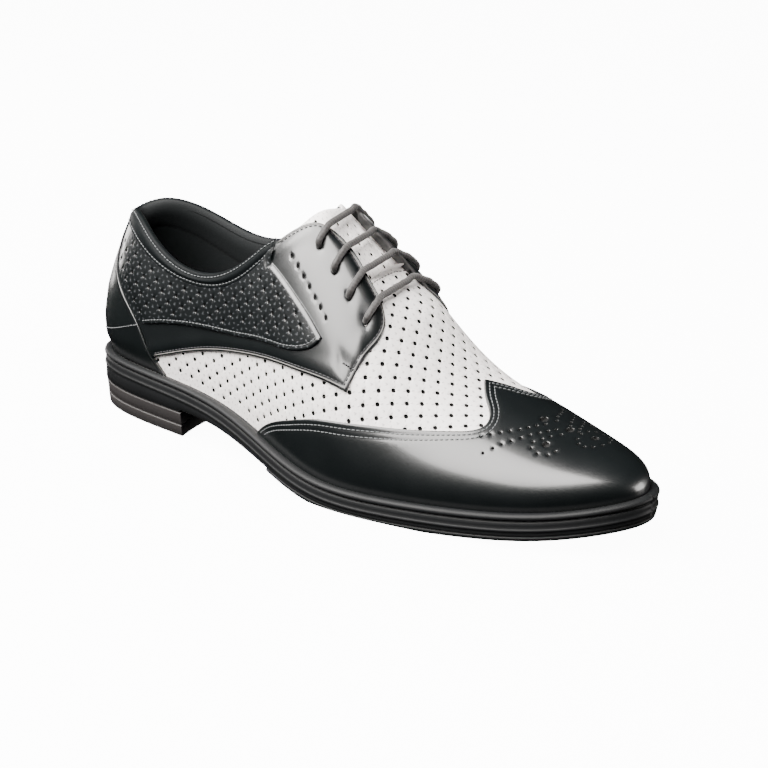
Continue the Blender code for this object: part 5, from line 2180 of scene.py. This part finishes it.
@dataclass
class Studio:
    """The pale floor, the even surroundings, the lights and the camera."""

    azimuth: float = 37.0
    elevation: float = 20.0
    distance: float = 0.7989
    roll: float = 1.0
    lens: float = 82.95
    shift: tuple[float, float] = (0.0303, -0.00998)
    target: tuple[float, float, float] = (0.000705, 0.004123, 0.040)
    surround: float = 1.9
    reflected: float = 0.008
    lamps: tuple[Lamp, ...] = (
        Lamp("softbox", -20.0, 58.0, 1.2, (1.5, 1.45), 110.0),
        Lamp("side_softbox", -60.0, 42.0, 1.2, (0.7, 0.7), 13.0),
        Lamp("toe_rim", 125.0, 6.0, 1.0, (0.5, 0.4), 6.0),
        Lamp("heel_rim", -105.0, 2.0, 1.0, (0.35, 0.3), 2.5),
    )

    def build(self) -> None:
        """Set up the studio."""
        self._floor()
        self._world()
        for lamp in self.lamps:
            lamp.hang(Vector(self.target))
        self._camera()

    def _floor(self) -> None:
        """Lay the pale floor."""
        wide = 6.0
        points = np.array([(-wide, -wide, 0), (wide, -wide, 0), (wide, wide, 0),
                           (-wide, wide, 0)], float)
        points[:, 2] = -0.15 * MM
        recipe = Recipe("floor", Emission_Strength=12.0)
        recipe.shader.inputs["Emission Color"].default_value = (1.0, 1.0, 1.0, 1.0)
        finish = recipe.finish((0.30, 0.30, 0.30), 0.8, None)
        floor = add_mesh("floor", points, [(0, 1, 2, 3)], [finish], smooth=False)
        floor.visible_glossy = False
        floor.visible_diffuse = False
        floor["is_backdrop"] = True

    def _world(self) -> None:
        """Light the surroundings evenly, but let polished leather mirror them dark."""
        world = bpy.data.worlds.new("surroundings")
        world.use_nodes = True
        bpy.context.scene.world = world
        nodes, links = world.node_tree.nodes, world.node_tree.links
        back = nodes["Background"]
        path = nodes.new("ShaderNodeLightPath")
        choice = nodes.new("ShaderNodeMix")
        choice.data_type = "FLOAT"
        choice.inputs[2].default_value = self.surround
        choice.inputs[3].default_value = self.reflected
        links.new(path.outputs["Is Glossy Ray"], choice.inputs[0])
        links.new(choice.outputs[0], back.inputs["Strength"])

    def _camera(self) -> None:
        """Aim the camera as the photograph was taken."""
        turn, rise, roll = (math.radians(angle) for angle in (self.azimuth, self.elevation, self.roll))
        right = Vector((math.cos(turn), math.sin(turn), 0))
        back = Vector((math.sin(turn) * math.cos(rise), -math.cos(turn) * math.cos(rise),
                       math.sin(rise)))
        up = back.cross(right)
        cos, sin = math.cos(roll), math.sin(roll)
        right, up = right * cos + up * sin, up * cos - right * sin
        camera = bpy.data.cameras.new("camera")
        camera.lens = self.lens
        camera.shift_x, camera.shift_y = self.shift
        camera.clip_start = 0.01
        holder = bpy.data.objects.new("camera", camera)
        frame = Matrix((right, up, back)).transposed().to_4x4()
        holder.matrix_world = Matrix.Translation(Vector(self.target) + back * self.distance) @ frame
        bpy.context.scene.collection.objects.link(holder)
        bpy.context.scene.camera = holder


def write_sizes(solid: tuple[Vector, Vector]) -> None:
    """Write the box of the solids and the box of what is shown.

    Args:
        solid: The low and high corners of the solids.
    """
    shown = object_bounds()
    boxes = {name: [list(corner) for corner in box] for name, box in (("cad", solid), ("visual", shown))}
    log.info("sizes: %s", boxes)


def main() -> None:
    """Load the frame, build every sub-assembly in order and set up the studio."""
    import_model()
    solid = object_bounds()
    last = Last()
    shop = Workshop.furnish(last)
    Sole().build(shop)
    Footbed().build(shop)
    Lining().build(shop)
    Vamp().build(shop)
    Tongue().build(shop)
    HeelCounter().build(shop)
    for side in Side:
        Quarter(side).build(shop)
        SidePanel(side).build(shop)
    ToeCap().build(shop)
    Collar().build(shop)
    Lace().build(shop)
    Studio().build()
    write_sizes(solid)


if __name__ == "__main__":
    logging.basicConfig(level=logging.INFO, format="%(message)s")
    main()
